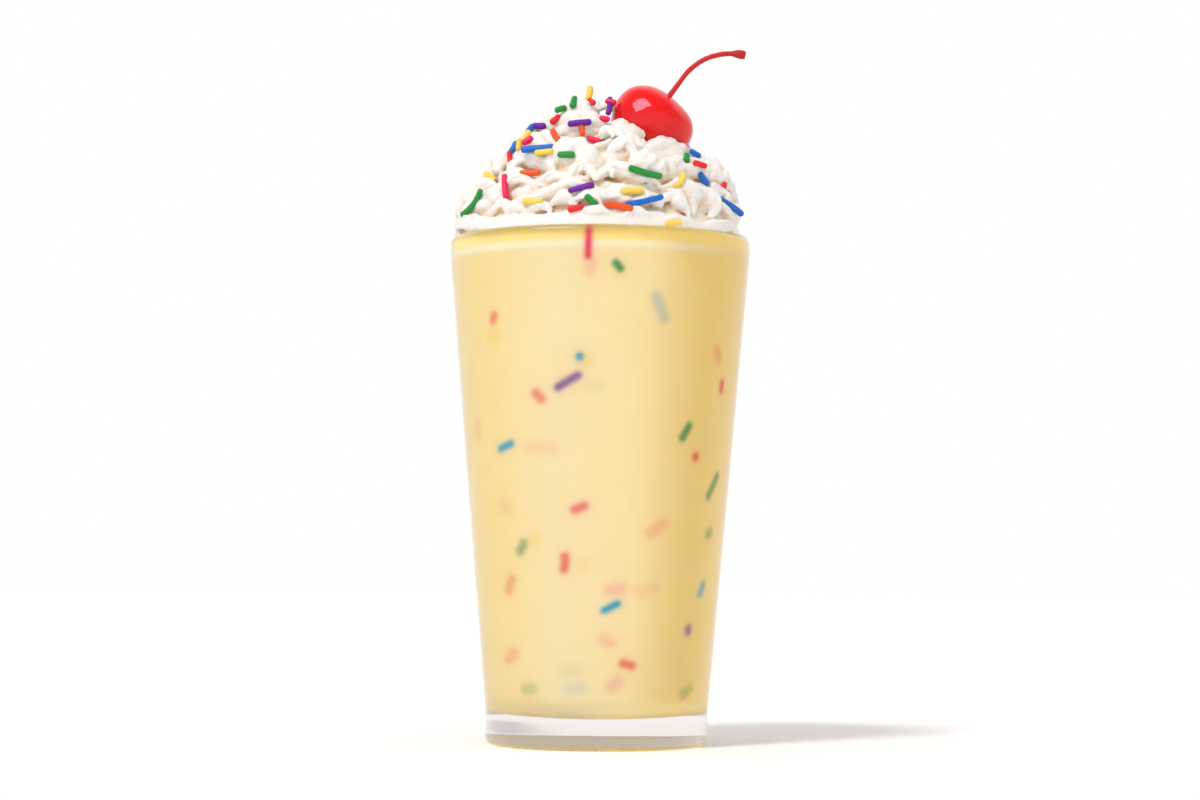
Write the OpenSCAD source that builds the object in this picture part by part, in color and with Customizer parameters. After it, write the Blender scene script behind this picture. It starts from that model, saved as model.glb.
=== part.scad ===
// Milkshake in a pint glass, topped with piped whipped cream and a stemmed cherry.
// Lengths are millimetres. The origin is the centre of the foot, +Z is up and -Y is the front.

/* [Glass] */
// Height of the glass
glass_h = 149.2; // [120:0.1:190]
// Outer diameter at the rim
rim_d = 88.9; // [74:0.1:110]
// Outer diameter of the foot
foot_d = 65.4; // [50:0.1:72]
// Height of the straight band at the foot
foot_band_h = 10; // [4:0.5:18]
// Height of the straight band under the rim
rim_band_h = 4.5; // [3:0.5:12]
// Wall thickness at the rim
rim_wall = 2.8; // [1.6:0.1:3.6]
// Wall thickness just above the floor
foot_wall = 4.6; // [2.5:0.1:6]
// Thickness of the solid glass under the drink, at its centre
floor_t = 9; // [5:0.5:16]
// How far the dished floor rises from its centre to its corner
floor_dish = 1.6; // [0.4:0.1:3]
// Inside corner radius between floor and wall
corner_r = 6; // [3:0.5:10]
// Outside edge radius under the foot
foot_edge_r = 2.6; // [1:0.1:4]
// Diameter of the shallow hollow under the foot
hollow_d = 46; // [30:1:48]
// Depth of that hollow
hollow_h = 1.6; // [0.4:0.1:3]

/* [Drink] */
// How far the drink stops below the rim
fill_drop = 1.2; // [1.2:0.1:12]

/* [Whipped cream] */
// Height of the heap above the rim, without the knob
heap_h = 38; // [26:0.5:52]
// How far the cream laps over the rounded rim, from its inner side
lap_angle = 80; // [40:5:90]
// Turns of the piped rope from rim to top
rope_turns = 4; // [3:1:6]
// Depth of the groove between two turns of the rope
groove_depth = 3; // [0:0.1:4]
// Number of ruffles in one turn of the rope
ruffles = 9; // [5:1:14]
// Depth of the ruffles
ruffle_depth = 1.3; // [0:0.1:1.6]
// Unevenness of the heap
lump_depth = 0.9; // [0:0.1:1.5]
// Radius of the knob on top
knob_r = 9; // [6:0.5:14]
// Height of the knob
knob_h = 5.4; // [0:0.1:9]

/* [Cherry] */
// Diameter of the cherry
cherry_d = 25.2; // [18:0.1:30]
// Height of the stem end above the widest girth
cherry_top_h = 9.2; // [7:0.1:14]
// Depth of the dimple round the stem
dimple_h = 2.2; // [0.5:0.1:3]
// Radius of the dimple
dimple_r = 3.4; // [2:0.1:5]
// Lean of the cherry to the right
cherry_tilt = 36; // [0:1:60]
// Distance from the heap's axis to the cherry's centre
cherry_out = 15.4; // [8:0.1:24]
// How far the cherry's centre stands above the heap's surface
cherry_lift = 1.3; // [-6:0.1:6]

/* [Stem] */
// Length of the stem outside its socket
stem_l = 30; // [16:0.5:45]
// Length of its straight stretch from the socket
stem_straight = 9.5; // [0:0.5:12]
// How far its root stands off the cherry's own axis, towards the upper side
stem_off = 0.7; // [0:0.1:1.5]
// Diameter of the stem
stem_d = 1.5; // [1:0.1:2.4]
// Diameter where it enters the cherry
stem_root_d = 2; // [1.2:0.1:3]
// Diameter of the woody end
stem_end_d = 2.8; // [1.4:0.1:3.6]
// Rise of the stem at the cherry, in degrees above level
stem_rise = 54; // [40:1:90]
// Rise at its free end
stem_end_rise = -14; // [-40:1:30]

/* [Hidden] */

// Clearance between pieces that touch
fit = 0.05;
// Clearance between the cherry and the seat that it presses into the cream
seat_fit = 0.1;
// Clearance and depth of the stem's socket in the cherry
socket_fit = 0.08;
socket_h = 1.4;
// Mesh steps: round the heap, up the heap, over its lap, round the stem and along the stem
heap_sides = 72;
heap_rings = 40;
lap_steps = 3;
stem_sides = 14;
stem_rings = 32;
// Steps in a rounded edge, and sides of a turned shape and of a small bore
arc_steps = 8;
turned_fn = 96;
bore_fn = 48;
// The inside corner's arc starts and ends on the slopes of the dished floor and the wall
corner_start = -82;
corner_end = -4;
// Exponent that gives the heap its full shoulder
shoulder = 1.414;
// Exponent of the rounded rope: lower is fuller, with a sharper groove
rope_round = 0.6;
// Height on the rope, from 0 to 1, that lies on the plain heap
rope_level = 0.75;
// Angles over which the relief fades in, from the top and from the rim
fade_top = 14;
fade_rim = 10;
// How far the ruffles slant forward in one turn of the rope
ruffle_slant = 150;
// Exponents that round the knob's shoulder and its foot
knob_crown = 3;
knob_skirt = 2;
// Exponent of the flattened stem end of the cherry
cherry_square = 2.35;
// How fast the stem slims from its root, and how domed its end is
root_slim = 12;
end_dome = 0.35;
// Shares of the stem's length at which the woody end starts to swell and is full
swell_from = 0.84;
swell_full = 0.95;

rim_r = rim_d / 2;
foot_r = foot_d / 2;
rim_round = rim_wall / 2;
rim_mid_r = rim_r - rim_round;
rim_mid_z = glass_h - rim_round;
band_z = glass_h - rim_band_h;
drink_z = glass_h - fill_drop;
lap_r = rim_mid_r + (rim_round + fit) * cos(180 - lap_angle);
lap_z = rim_mid_z + (rim_round + fit) * sin(180 - lap_angle);
cherry_r = cherry_d / 2;
cherry_z = heap_z(cherry_out) + cherry_lift;

// Points of an arc about [x, z] from angle a to angle b
function arc(x, z, r, a, b) = [
    for (i = [0:arc_steps]) let (t = a + (b - a) * i / arc_steps) [x + r * cos(t), z + r * sin(t)]
];

// Inside radius of the tapered wall at height z, taken in by a clearance
function inside_r(z, gap = 0) = let (
    low = foot_r - foot_wall,
    high = rim_r - rim_wall,
    t = (z - foot_band_h) / (band_z - foot_band_h)
) min(high, low + (high - low) * t) - gap;

// Inside of the glass as a half profile, from the centre of its floor up to height top
function inside(top, gap = 0) = let (
    corner_x = inside_r(floor_t + floor_dish + corner_r, gap) - corner_r,
    corner_z = floor_t + floor_dish + corner_r
) concat(
    [for (i = [0:arc_steps]) let (t = i / arc_steps) [corner_x * t, floor_t + gap + floor_dish * t * t]],
    arc(corner_x, corner_z, corner_r, corner_start, corner_end),
    top > band_z ? [[inside_r(band_z, gap), band_z]] : [],
    [[inside_r(top, gap), top]]
);

module glass() {
    underside = [
        for (i = [0:arc_steps]) let (t = i / arc_steps)
            [hollow_d / 2 * t, hollow_h * (1 - t * t)]
    ];
    outline = concat(
        underside,
        arc(foot_r - foot_edge_r, foot_edge_r, foot_edge_r, -90, 0),
        [[foot_r, foot_band_h], [rim_r, band_z]],
        arc(rim_mid_r, rim_mid_z, rim_round, 0, 180)
    );
    cavity = inside(rim_mid_z);
    color("azure", 0.35)
        rotate_extrude($fn = turned_fn)
            polygon(concat(outline, [for (i = [len(cavity) - 2:-1:0]) cavity[i]]));
}

module drink() {
    color("moccasin")
        rotate_extrude($fn = turned_fn)
            polygon(concat(inside(drink_z, fit), [[0, drink_z]]));
}

// Height of the plain heap at radius r
function heap_z(r) = lap_z + heap_h * pow(1 - pow(min(r / lap_r, 1), 2), shoulder / 2);

// Rounded rope, 0 in the groove and 1 on its crest, where x counts turns
function rope(x) = pow(abs(sin(180 * x)), rope_round);

// How far the surface stands proud of the plain heap, b degrees from the top and t degrees round
function relief(b, t) = let (
    turn = rope_turns * (1 - b / 90) - t / 360,
    crest = rope(turn),
    from_top = min(1, b / fade_top),
    from_rim = min(1, (90 - b) / fade_rim)
) from_top * from_rim * (
    groove_depth * (crest - rope_level)
    + ruffle_depth * crest * cos(ruffles * t + ruffle_slant * turn)
    + lump_depth * (sin(2 * t + 3 * b) + sin(3 * t - 5 * b + 40)) / 2
);

// The knob rises smoothly out of the top of the heap
function knob(r) = let (t = min(1, r / knob_r)) knob_h * pow(1 - pow(t, knob_crown), knob_skirt);

function heap_point(b, t) = let (
    r = lap_r * sin(b) + relief(b, t) * sin(b),
    z = heap_z(lap_r * sin(b)) + relief(b, t) * cos(b) + knob(lap_r * sin(b))
) [r * cos(t), r * sin(t), z];

// Rings of the cream from its underside over the rim to the top
function cream_rings() = let (
    foot_z = drink_z + fit,
    step = 360 / heap_sides,
    lip = [for (i = [0:lap_steps]) let (a = 180 - lap_angle * i / lap_steps)
        [rim_mid_r + (rim_round + fit) * cos(a), rim_mid_z + (rim_round + fit) * sin(a)]]
) concat(
    [for (p = concat([[inside_r(foot_z, fit), foot_z]], lip))
        [for (j = [0:heap_sides - 1]) [p[0] * cos(j * step), p[0] * sin(j * step), p[1]]]],
    [for (i = [heap_rings - 1:-1:1])
        [for (j = [0:heap_sides - 1]) heap_point(90 * i / heap_rings, j * step)]]
);

// Faces of a skin over n rings of m points, closed by a point at each end
function skin_faces(n, m) = let (first = n * m, last = n * m + 1) concat(
    [for (j = [0:m - 1]) [first, j, (j + 1) % m]],
    [for (i = [0:n - 2]) for (j = [0:m - 1]) for (k = [0, 1])
        let (a = i * m + j, b = i * m + (j + 1) % m)
            k == 0 ? [a, a + m, b] : [b, a + m, b + m]],
    [for (j = [0:m - 1]) [(n - 1) * m + j, last, (n - 1) * m + (j + 1) % m]]
);

module skin(rings, start, end) {
    polyhedron(
        points = concat([for (ring = rings) for (p = ring) p], [start, end]),
        faces = skin_faces(len(rings), len(rings[0]))
    );
}

module cream() {
    color("ivory")
        difference() {
            skin(cream_rings(), [0, 0, drink_z + fit], heap_point(0, 0));
            translate([cherry_out, 0, cherry_z]) sphere(r = cherry_r + seat_fit, $fn = turned_fn);
        }
}

// Height of the cherry's stem end at distance x from its own axis
function cherry_top(x) = let (t = min(1, x / cherry_r))
    cherry_top_h * pow(1 - pow(t, cherry_square), 1 / cherry_square)
    - dimple_h * exp(-pow(x / dimple_r, 2) * 2);

module cherry_body() {
    top = [for (i = [0:3 * arc_steps]) let (a = 90 * i / (3 * arc_steps))
        [cherry_r * sin(a), cherry_top(cherry_r * sin(a))]];
    below = [for (i = [1:2 * arc_steps]) let (a = 90 * i / (2 * arc_steps))
        [i == 2 * arc_steps ? 0 : cherry_r * cos(a), -cherry_r * sin(a)]];
    rotate_extrude($fn = turned_fn) polygon(concat(top, below));
}

// Where the stem leaves the cherry, in the plane of its lean
stem_x = cherry_out + cherry_top(stem_off) * sin(cherry_tilt) - stem_off * cos(cherry_tilt);
stem_z = cherry_z + cherry_top(stem_off) * cos(cherry_tilt) + stem_off * sin(cherry_tilt);

// Moves a shape drawn up the Z axis to the stem's root
module at_stem_root() {
    translate([stem_x, 0, stem_z]) rotate([0, 90 - stem_rise, 0]) children();
}

module cherry() {
    color("crimson")
        difference() {
            translate([cherry_out, 0, cherry_z]) rotate([0, cherry_tilt, 0]) cherry_body();
            at_stem_root()
                translate([0, 0, -socket_h - socket_fit])
                    cylinder(r = stem_root_d / 2 + socket_fit, h = 4 * socket_h, $fn = bore_fn);
        }
}

// Rise of the stem at distance s from its root: even along the straight stretch, then falling evenly
stem_arc_l = stem_l - stem_straight;
stem_fall = stem_rise - stem_end_rise;
stem_bend = stem_fall * PI / 180 / stem_arc_l;
function stem_rise_at(s) = stem_rise - stem_fall * max(0, (s - stem_straight) / stem_arc_l);

// Point on its centre line at distance s from its root
function stem_point(s) = let (straight = min(s, stem_straight), rise = stem_rise_at(s)) [
    stem_x + straight * cos(stem_rise) + (sin(stem_rise) - sin(rise)) / stem_bend,
    0,
    stem_z + straight * sin(stem_rise) + (cos(rise) - cos(stem_rise)) / stem_bend
];

// Radius of the stem: flared at the root, slender, then swelling to the woody end
function stem_r(s) = let (
    t = max(0, s / stem_l),
    u = min(1, max(0, (t - swell_from) / (swell_full - swell_from))),
    root = (stem_root_d - stem_d) * exp(-t * root_slim),
    end = (stem_end_d - stem_d) * u * u * (3 - 2 * u)
) (stem_d + root + end) / 2;

module stem() {
    s_step = (stem_l + socket_h) / (stem_rings - 1);
    rings = [for (i = [0:stem_rings - 1]) let (
        s = i * s_step - socket_h,
        c = stem_point(s),
        a = stem_rise_at(s),
        r = stem_r(s)
    ) [for (j = [0:stem_sides - 1]) let (t = 360 * j / stem_sides)
        c + r * [-cos(t) * sin(a), sin(t), cos(t) * cos(a)]]];
    cap = stem_point(stem_l) + end_dome * stem_end_d * [cos(stem_end_rise), 0, sin(stem_end_rise)];
    color("firebrick")
        skin(rings, stem_point(-socket_h), cap);
}

glass();
drink();
cream();
cherry();
stem();
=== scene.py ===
"""Milkshake in a pint glass, topped with whipped cream, sprinkles and a stemmed cherry.

Lengths in the dataclass fields are millimetres unless their name says otherwise, and MM turns them
into the metres of the scene. +Z is up, -Y is the front, and the origin is the centre of the foot.
"""
import logging
import math
from dataclasses import dataclass, field
from enum import Enum
from typing import Iterable, Optional, Sequence

import bpy
import numpy as np
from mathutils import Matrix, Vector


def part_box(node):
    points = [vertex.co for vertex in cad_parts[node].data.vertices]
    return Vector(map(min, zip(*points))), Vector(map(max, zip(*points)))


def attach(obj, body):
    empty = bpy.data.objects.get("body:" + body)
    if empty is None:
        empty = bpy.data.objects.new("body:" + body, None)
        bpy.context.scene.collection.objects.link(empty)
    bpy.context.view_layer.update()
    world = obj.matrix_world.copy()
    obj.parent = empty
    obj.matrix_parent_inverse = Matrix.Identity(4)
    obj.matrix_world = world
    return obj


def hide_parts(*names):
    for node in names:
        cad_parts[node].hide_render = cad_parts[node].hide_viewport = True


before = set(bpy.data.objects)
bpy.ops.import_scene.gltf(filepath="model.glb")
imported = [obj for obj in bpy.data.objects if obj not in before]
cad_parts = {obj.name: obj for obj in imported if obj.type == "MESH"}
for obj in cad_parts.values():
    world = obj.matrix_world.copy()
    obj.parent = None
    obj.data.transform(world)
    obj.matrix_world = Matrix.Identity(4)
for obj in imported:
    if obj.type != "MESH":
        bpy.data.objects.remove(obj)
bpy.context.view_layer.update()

import openvdb
from mathutils import Matrix, Vector
from mathutils.bvhtree import BVHTree

logging.basicConfig(level=logging.INFO, format="%(message)s")
log = logging.getLogger("milkshake")

MM = 0.001
ROOT = "root"
CAMERA_AWAY = 866.0  # distance from the camera to the axis, in millimetres
CAMERA_UP = 52.0  # height of the camera, in millimetres
Point = tuple[float, float, float]
Colour = tuple[float, float, float]
Flat = tuple[float, float]  # two places or sizes, such as radius and height
Span = tuple[float, float]  # where a change starts and where it is full, or least and most
Path = tuple[np.ndarray, np.ndarray]  # points of a centre line and the radius at each
Stain = tuple[np.ndarray, Colour, float]  # centre line, colour and strength
ROPE_POINTS = 30  # points of the centre line of a rope of cream
BLACK: Colour = (0.0, 0.0, 0.0)
WHITE: Colour = (1.0, 1.0, 1.0)


# ---------------------------------------------------------------- shared mesh tools


def smoothstep(low: float, high: float, x: np.ndarray) -> np.ndarray:
    """Returns 0 below low, 1 above high and a smooth rise between them."""
    t = np.clip((x - low) / (high - low), 0.0, 1.0)
    return t * t * (3.0 - 2.0 * t)


def smooth_min(a: np.ndarray, b: np.ndarray, blend: float) -> np.ndarray:
    """Joins two distance fields with a fillet.

    Args:
        a: first distance field.
        b: second distance field.
        blend: size of the fillet between them.

    Returns:
        The joined field.
    """
    h = np.clip(0.5 + 0.5 * (b - a) / blend, 0.0, 1.0)
    return b + (a - b) * h - blend * h * (1.0 - h)


class Waves:
    """Smooth seeded noise: a sum of cosines that run in random directions."""

    def __init__(self, seed: int, wavelength: float, count: int = 14) -> None:
        """Draws the waves.

        Args:
            seed: seed of the random draws.
            wavelength: middle wavelength.
            count: number of waves.
        """
        rng = np.random.default_rng(seed)
        turn = rng.normal(size=(count, 3))
        turn /= np.linalg.norm(turn, axis=1, keepdims=True)
        self.pull = turn * (2 * math.pi / (wavelength * rng.uniform(0.7, 1.5, (count, 1))))
        self.phase = rng.uniform(0, 2 * math.pi, count)

    def at(self, x: np.ndarray, y: np.ndarray, z: np.ndarray) -> np.ndarray:
        """Returns the noise at each place, mostly between -1 and 1."""
        total = np.zeros(np.broadcast(x, y, z).shape, dtype=np.float32)
        for (kx, ky, kz), phase in zip(self.pull, self.phase):
            total += np.cos(kx * x + ky * y + kz * z + phase, dtype=np.float32)
        return total / math.sqrt(len(self.phase))


def placed(name: str, data: bpy.types.ID) -> bpy.types.Object:
    """Makes an object from its data and links it to the scene."""
    obj = bpy.data.objects.new(name, data)
    bpy.context.scene.collection.objects.link(obj)
    return obj


def mesh_object(
    name: str, verts: np.ndarray, faces: Sequence[Sequence[int]], smooth: bool = True
) -> bpy.types.Object:
    """Makes a mesh object from points in millimetres.

    Args:
        name: name of the piece.
        verts: points, in millimetres.
        faces: corner numbers of each face.
        smooth: whether the faces are shaded smooth.

    Returns:
        The new object, linked to the scene.
    """
    mesh = bpy.data.meshes.new(name)
    mesh.from_pydata((np.asarray(verts, dtype=float) * MM).tolist(), [], [list(f) for f in faces])
    mesh.validate()
    mesh.update()
    if smooth:
        mesh.shade_smooth()
    return placed(name, mesh)


def add_colour(obj: bpy.types.Object, name: str, values: np.ndarray) -> None:
    """Stores a colour on every point of a piece.

    Args:
        obj: the piece.
        name: name of the attribute.
        values: one row of red, green and blue for each point.
    """
    data = obj.data.attributes.new(name, "FLOAT_COLOR", "POINT").data
    rgba = np.ones((len(values), 4), dtype=np.float32)
    rgba[:, :3] = values
    data.foreach_set("color", rgba.ravel())


def add_value(obj: bpy.types.Object, name: str, values: np.ndarray) -> None:
    """Stores a number on every point of a piece."""
    data = obj.data.attributes.new(name, "FLOAT", "POINT").data
    data.foreach_set("value", values.astype(np.float32))


def points_of(obj: bpy.types.Object) -> np.ndarray:
    """Returns the points of a mesh object, in millimetres."""
    co = np.empty(len(obj.data.vertices) * 3, dtype=np.float32)
    obj.data.vertices.foreach_get("co", co)
    return co.reshape(-1, 3).astype(float) / MM


def arc(centre: Flat, radius: float, start: float, end: float, steps: int) -> list[Flat]:
    """Returns the points of an arc.

    Args:
        centre: its centre, as radius and height.
        radius: its radius.
        start: first angle, in degrees.
        end: last angle, in degrees.
        steps: number of steps between them.

    Returns:
        The points, as radius and height.
    """
    turns = [math.radians(start + (end - start) * i / steps) for i in range(steps + 1)]
    return [(centre[0] + radius * math.cos(t), centre[1] + radius * math.sin(t)) for t in turns]


def spread(profile: Sequence[Flat], step: float) -> list[Flat]:
    """Adds points to a profile so that no stretch is longer than a step."""
    out = [profile[0]]
    for a, b in zip(profile, profile[1:]):
        n = max(1, math.ceil(math.dist(a, b) / step))
        out += [(a[0] + (b[0] - a[0]) * i / n, a[1] + (b[1] - a[1]) * i / n) for i in range(1, n + 1)]
    return out


def turned(name: str, profile: Sequence[Flat], sides: int) -> bpy.types.Object:
    """Turns a half profile round the Z axis into a closed body.

    Args:
        name: name of the piece.
        profile: radius and height, from the axis at the bottom round the outside to the axis again.
        sides: number of sides.

    Returns:
        The turned body.
    """
    verts: list[Point] = []
    rings: list[list[int]] = []
    on_axis = 1e-6
    turns = [2 * math.pi * j / sides for j in range(sides)]
    for r, z in profile:
        if r < on_axis:
            verts.append((0.0, 0.0, z))
            rings.append([len(verts) - 1] * sides)
            continue
        rings.append(list(range(len(verts), len(verts) + sides)))
        verts += [(r * math.cos(t), r * math.sin(t), z) for t in turns]
    faces = []
    for low, high in zip(rings, rings[1:]):
        for j in range(sides):
            k = (j + 1) % sides
            corners = [low[j], low[k], high[k], high[j]]
            face = [c for i, c in enumerate(corners) if c != corners[i - 1]]
            if len(face) > 2:
                faces.append(face)
    return mesh_object(name, np.array(verts), faces)


# ---------------------------------------------------------------- materials


class Tree:
    """Short words for building a material's or a group's node tree."""

    def __init__(self, tree: bpy.types.NodeTree) -> None:
        """Keeps the tree that is built."""
        self.tree = tree

    def node(self, kind: str, **settings: object) -> bpy.types.Node:
        """Adds a node.

        Args:
            kind: Blender's name of the node type.
            settings: attributes to set; a name that starts with "in_" sets the input of that name or number.

        Returns:
            The new node.
        """
        made = self.tree.nodes.new(kind)
        for key, value in settings.items():
            if key.startswith("in_"):
                name = key[3:]
                made.inputs[int(name) if name.isdigit() else name.replace("_", " ")].default_value = value
            else:
                setattr(made, key, value)
        return made

    def link(self, source: bpy.types.NodeSocket, target: bpy.types.NodeSocket) -> None:
        """Joins an output to an input."""
        self.tree.links.new(source, target)

    def attribute(self, name: str) -> bpy.types.Node:
        """Adds a node that reads one of the piece's own attributes."""
        return self.node("ShaderNodeAttribute", attribute_name=name)

    def mix(self, share: object, low: object, high: object) -> bpy.types.NodeSocket:
        """Mixes two colours.

        Args:
            share: number or output, how much of high is used.
            low: colour or output.
            high: colour or output.

        Returns:
            The mixed colour's output.
        """
        made = self.node("ShaderNodeMix", data_type="RGBA", blend_type="MIX", clamp_factor=True)
        for number, value in ((0, share), (6, low), (7, high)):
            if isinstance(value, bpy.types.NodeSocket):
                self.link(value, made.inputs[number])
            elif number:
                made.inputs[number].default_value = (*value, 1.0)
            else:
                made.inputs[number].default_value = value
        return made.outputs[2]

    def maths(self, operation: str, a: object, b: object = 0.0, clamp: bool = False) -> bpy.types.NodeSocket:
        """Adds a Math node and returns its output."""
        made = self.node("ShaderNodeMath", operation=operation, use_clamp=clamp)
        for number, value in ((0, a), (1, b)):
            if isinstance(value, bpy.types.NodeSocket):
                self.link(value, made.inputs[number])
            else:
                made.inputs[number].default_value = value
        return made.outputs[0]

    def rise(self, source: bpy.types.NodeSocket, span: Span) -> bpy.types.NodeSocket:
        """Turns an output into a smooth rise from 0 to 1 over a span."""
        made = self.node(
            "ShaderNodeMapRange", interpolation_type="SMOOTHSTEP", in_From_Min=span[0], in_From_Max=span[1]
        )
        self.link(source, made.inputs["Value"])
        return made.outputs[0]


def group_tree(
    name: str, inputs: Iterable[tuple[str, str, float]], outputs: Iterable[tuple[str, str]]
) -> Tree:
    """Starts a shader node group.

    Args:
        name: name of the group.
        inputs: name, socket type and default of each input.
        outputs: name and socket type of each output.

    Returns:
        The group's tree, with its ends added as nodes named "in" and "out".
    """
    tree = bpy.data.node_groups.new(name, "ShaderNodeTree")
    for label, kind, default in inputs:
        socket = tree.interface.new_socket(label, in_out="INPUT", socket_type=kind)
        if kind == "NodeSocketFloat":
            socket.default_value = default
    for label, kind in outputs:
        tree.interface.new_socket(label, in_out="OUTPUT", socket_type=kind)
    tree.nodes.new("NodeGroupInput").name = "in"
    tree.nodes.new("NodeGroupOutput").name = "out"
    return Tree(tree)


def mottle_group() -> bpy.types.NodeTree:
    """Builds the group that gives soft uneven patches on two scales, as food has.

    Returns:
        A group with inputs Scale and Fine, and outputs Patch and Grain, from 0 to 1.
    """
    g = group_tree(
        "mottle",
        [("Scale", "NodeSocketFloat", 60.0), ("Fine", "NodeSocketFloat", 900.0)],
        [("Patch", "NodeSocketFloat"), ("Grain", "NodeSocketFloat")],
    )
    ends = g.tree.nodes
    place = g.node("ShaderNodeTexCoord")
    for size, label, detail in (("Scale", "Patch", 3.0), ("Fine", "Grain", 2.0)):
        noise = g.node("ShaderNodeTexNoise", in_Detail=detail, in_Roughness=0.55)
        g.link(place.outputs["Object"], noise.inputs["Vector"])
        g.link(ends["in"].outputs[size], noise.inputs["Scale"])
        g.link(noise.outputs[0], ends["out"].inputs[label])
    return g.tree


class Groups:
    """The node groups that several finishes share, each built once."""

    mottle: bpy.types.NodeTree

    @classmethod
    def build(cls) -> None:
        """Builds every shared group."""
        cls.mottle = mottle_group()


@dataclass(frozen=True)
class Finish:
    """A finish, with the words that every finish shares.

    In every finish, relief is the depth of its bumps and depth is how far light goes into it, both in
    metres, and patches and grain are the scales of its mottle.
    """

    name: str

    def start(self) -> tuple[bpy.types.Material, Tree, bpy.types.Node]:
        """Starts the material.

        Returns:
            The material, its tree and its Principled node.
        """
        mat = bpy.data.materials.new(self.name)
        mat.use_nodes = True
        tree = Tree(mat.node_tree)
        return mat, tree, mat.node_tree.nodes["Principled BSDF"]

    def set(self, shader: bpy.types.Node, **values: object) -> None:
        """Sets plain values on the shader's own sockets, with _ for each space in a socket's name."""
        for socket, value in values.items():
            shader.inputs[socket.replace("_", " ")].default_value = value

    def mottle(self, tree: Tree, scale: float, fine: float) -> bpy.types.Node:
        """Adds the shared mottle group with the finish's own scales."""
        made = tree.node("ShaderNodeGroup", node_tree=Groups.mottle)
        made.inputs["Scale"].default_value = scale
        made.inputs["Fine"].default_value = fine
        return made

    def bump(self, tree: Tree, shader: bpy.types.Node, height: bpy.types.NodeSocket, depth: float) -> None:
        """Feeds a height into the shader's normal.

        Args:
            tree: the material's tree.
            shader: the Principled node.
            height: output that holds the height.
            depth: depth of the relief in metres.
        """
        node = tree.node("ShaderNodeBump", in_Distance=depth, in_Strength=1.0)
        tree.link(height, node.inputs["Height"])
        tree.link(node.outputs[0], shader.inputs["Normal"])


@dataclass(frozen=True)
class ClearGlass(Finish):
    """Thick pressed glass, clear, with a faint ripple."""

    ior: float = 1.5
    tint: Colour = (0.85, 0.822, 0.812)
    shade: Colour = (0.93, 0.93, 0.93)
    patches: float = 45.0
    grain: float = 160.0
    relief: float = 0.00006

    def make(self) -> bpy.types.Material:
        """Builds the material: glass for what looks at it, and clear for light that falls through it."""
        mat, tree, shader = self.start()
        self.set(shader, Base_Color=(*self.tint, 1.0), Roughness=0.0, IOR=self.ior, Transmission_Weight=1.0)
        ripple = self.mottle(tree, self.patches, self.grain)
        self.bump(tree, shader, ripple.outputs["Patch"], self.relief)
        clear = tree.node("ShaderNodeBsdfTransparent", in_Color=(*self.shade, 1.0))
        path = tree.node("ShaderNodeLightPath")
        both = tree.node("ShaderNodeMixShader")
        tree.link(path.outputs["Is Shadow Ray"], both.inputs[0])
        tree.link(shader.outputs[0], both.inputs[1])
        tree.link(clear.outputs[0], both.inputs[2])
        tree.link(both.outputs[0], mat.node_tree.nodes["Material Output"].inputs["Surface"])
        return mat


@dataclass(frozen=True)
class ShakeFinish(Finish):
    """Thick milkshake against glass, with the colour that sunken sprinkles bleed into it."""

    body: Colour = (0.95, 0.815, 0.53)
    # colour of the painted shade: the right side and back away from the light, the left, and the band under
    # the cream
    painted_shade: Colour = (0.95, 0.72, 0.25)
    # colour of the painted highlight line under the rim band and of the painted light near the foot
    pale: Colour = (0.98, 0.92, 0.74)
    # colour and strength of the painted glow, light that the shake gives off though it is no lamp
    painted_glow_colour: Colour = (1.0, 0.70, 0.14)
    glow: float = 0.31
    uneven: float = 0.35
    depth: float = 0.003
    scatter: Colour = (1.0, 0.85, 0.5)
    clouded: float = 0.8
    roughness: float = 0.5
    gloss: float = 0.1
    patches: float = 55.0
    grain: float = 700.0
    relief: float = 0.00005

    def make(self) -> bpy.types.Material:
        """Builds the material from the piece's attributes.

        rich deepens the colour as painted shade: on the right and the back, away from the light,
        on the left, and in a band under the rim in the cream's shadow. pale paints a highlight line
        under the rim band and light near the foot. stain and stain_share tint it, and glow is painted
        light that the shake gives off on its shaded side and near its top and foot, though it is no lamp.

        Returns:
            The material.
        """
        mat, tree, shader = self.start()
        mottle = self.mottle(tree, self.patches, self.grain)
        patch = tree.maths("MULTIPLY", mottle.outputs["Patch"], self.uneven)
        # random mottle plus the painted shade held in the rich attribute
        deep = tree.maths("ADD", patch, tree.attribute("painted_shade").outputs["Fac"], clamp=True)
        body = tree.mix(deep, self.body, self.painted_shade)
        # the pale attribute paints a highlight line under the rim band and light near the foot
        body = tree.mix(tree.attribute("pale").outputs["Fac"], body, self.pale)
        stain = tree.attribute("stain").outputs["Color"]
        share = tree.attribute("stain_share").outputs["Fac"]
        tree.link(tree.mix(share, body, stain), shader.inputs["Base Color"])
        # painted glow: the shaded side, the back, the top and the foot give off light, tinted by the stains
        lit = tree.mix(share, self.painted_glow_colour, stain)
        glow = tree.attribute("glow").outputs["Fac"]
        tree.link(tree.mix(glow, BLACK, lit), shader.inputs["Emission Color"])
        plain = tree.maths("SUBTRACT", 1.0, share)
        tree.link(tree.maths("MULTIPLY", plain, self.clouded), shader.inputs["Subsurface Weight"])
        self.set(
            shader,
            Emission_Strength=self.glow,
            Roughness=self.roughness,
            Specular_IOR_Level=self.gloss,
            Subsurface_Radius=self.scatter,
            Subsurface_Scale=self.depth,
        )
        self.bump(tree, shader, mottle.outputs["Grain"], self.relief)
        return mat


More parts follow.
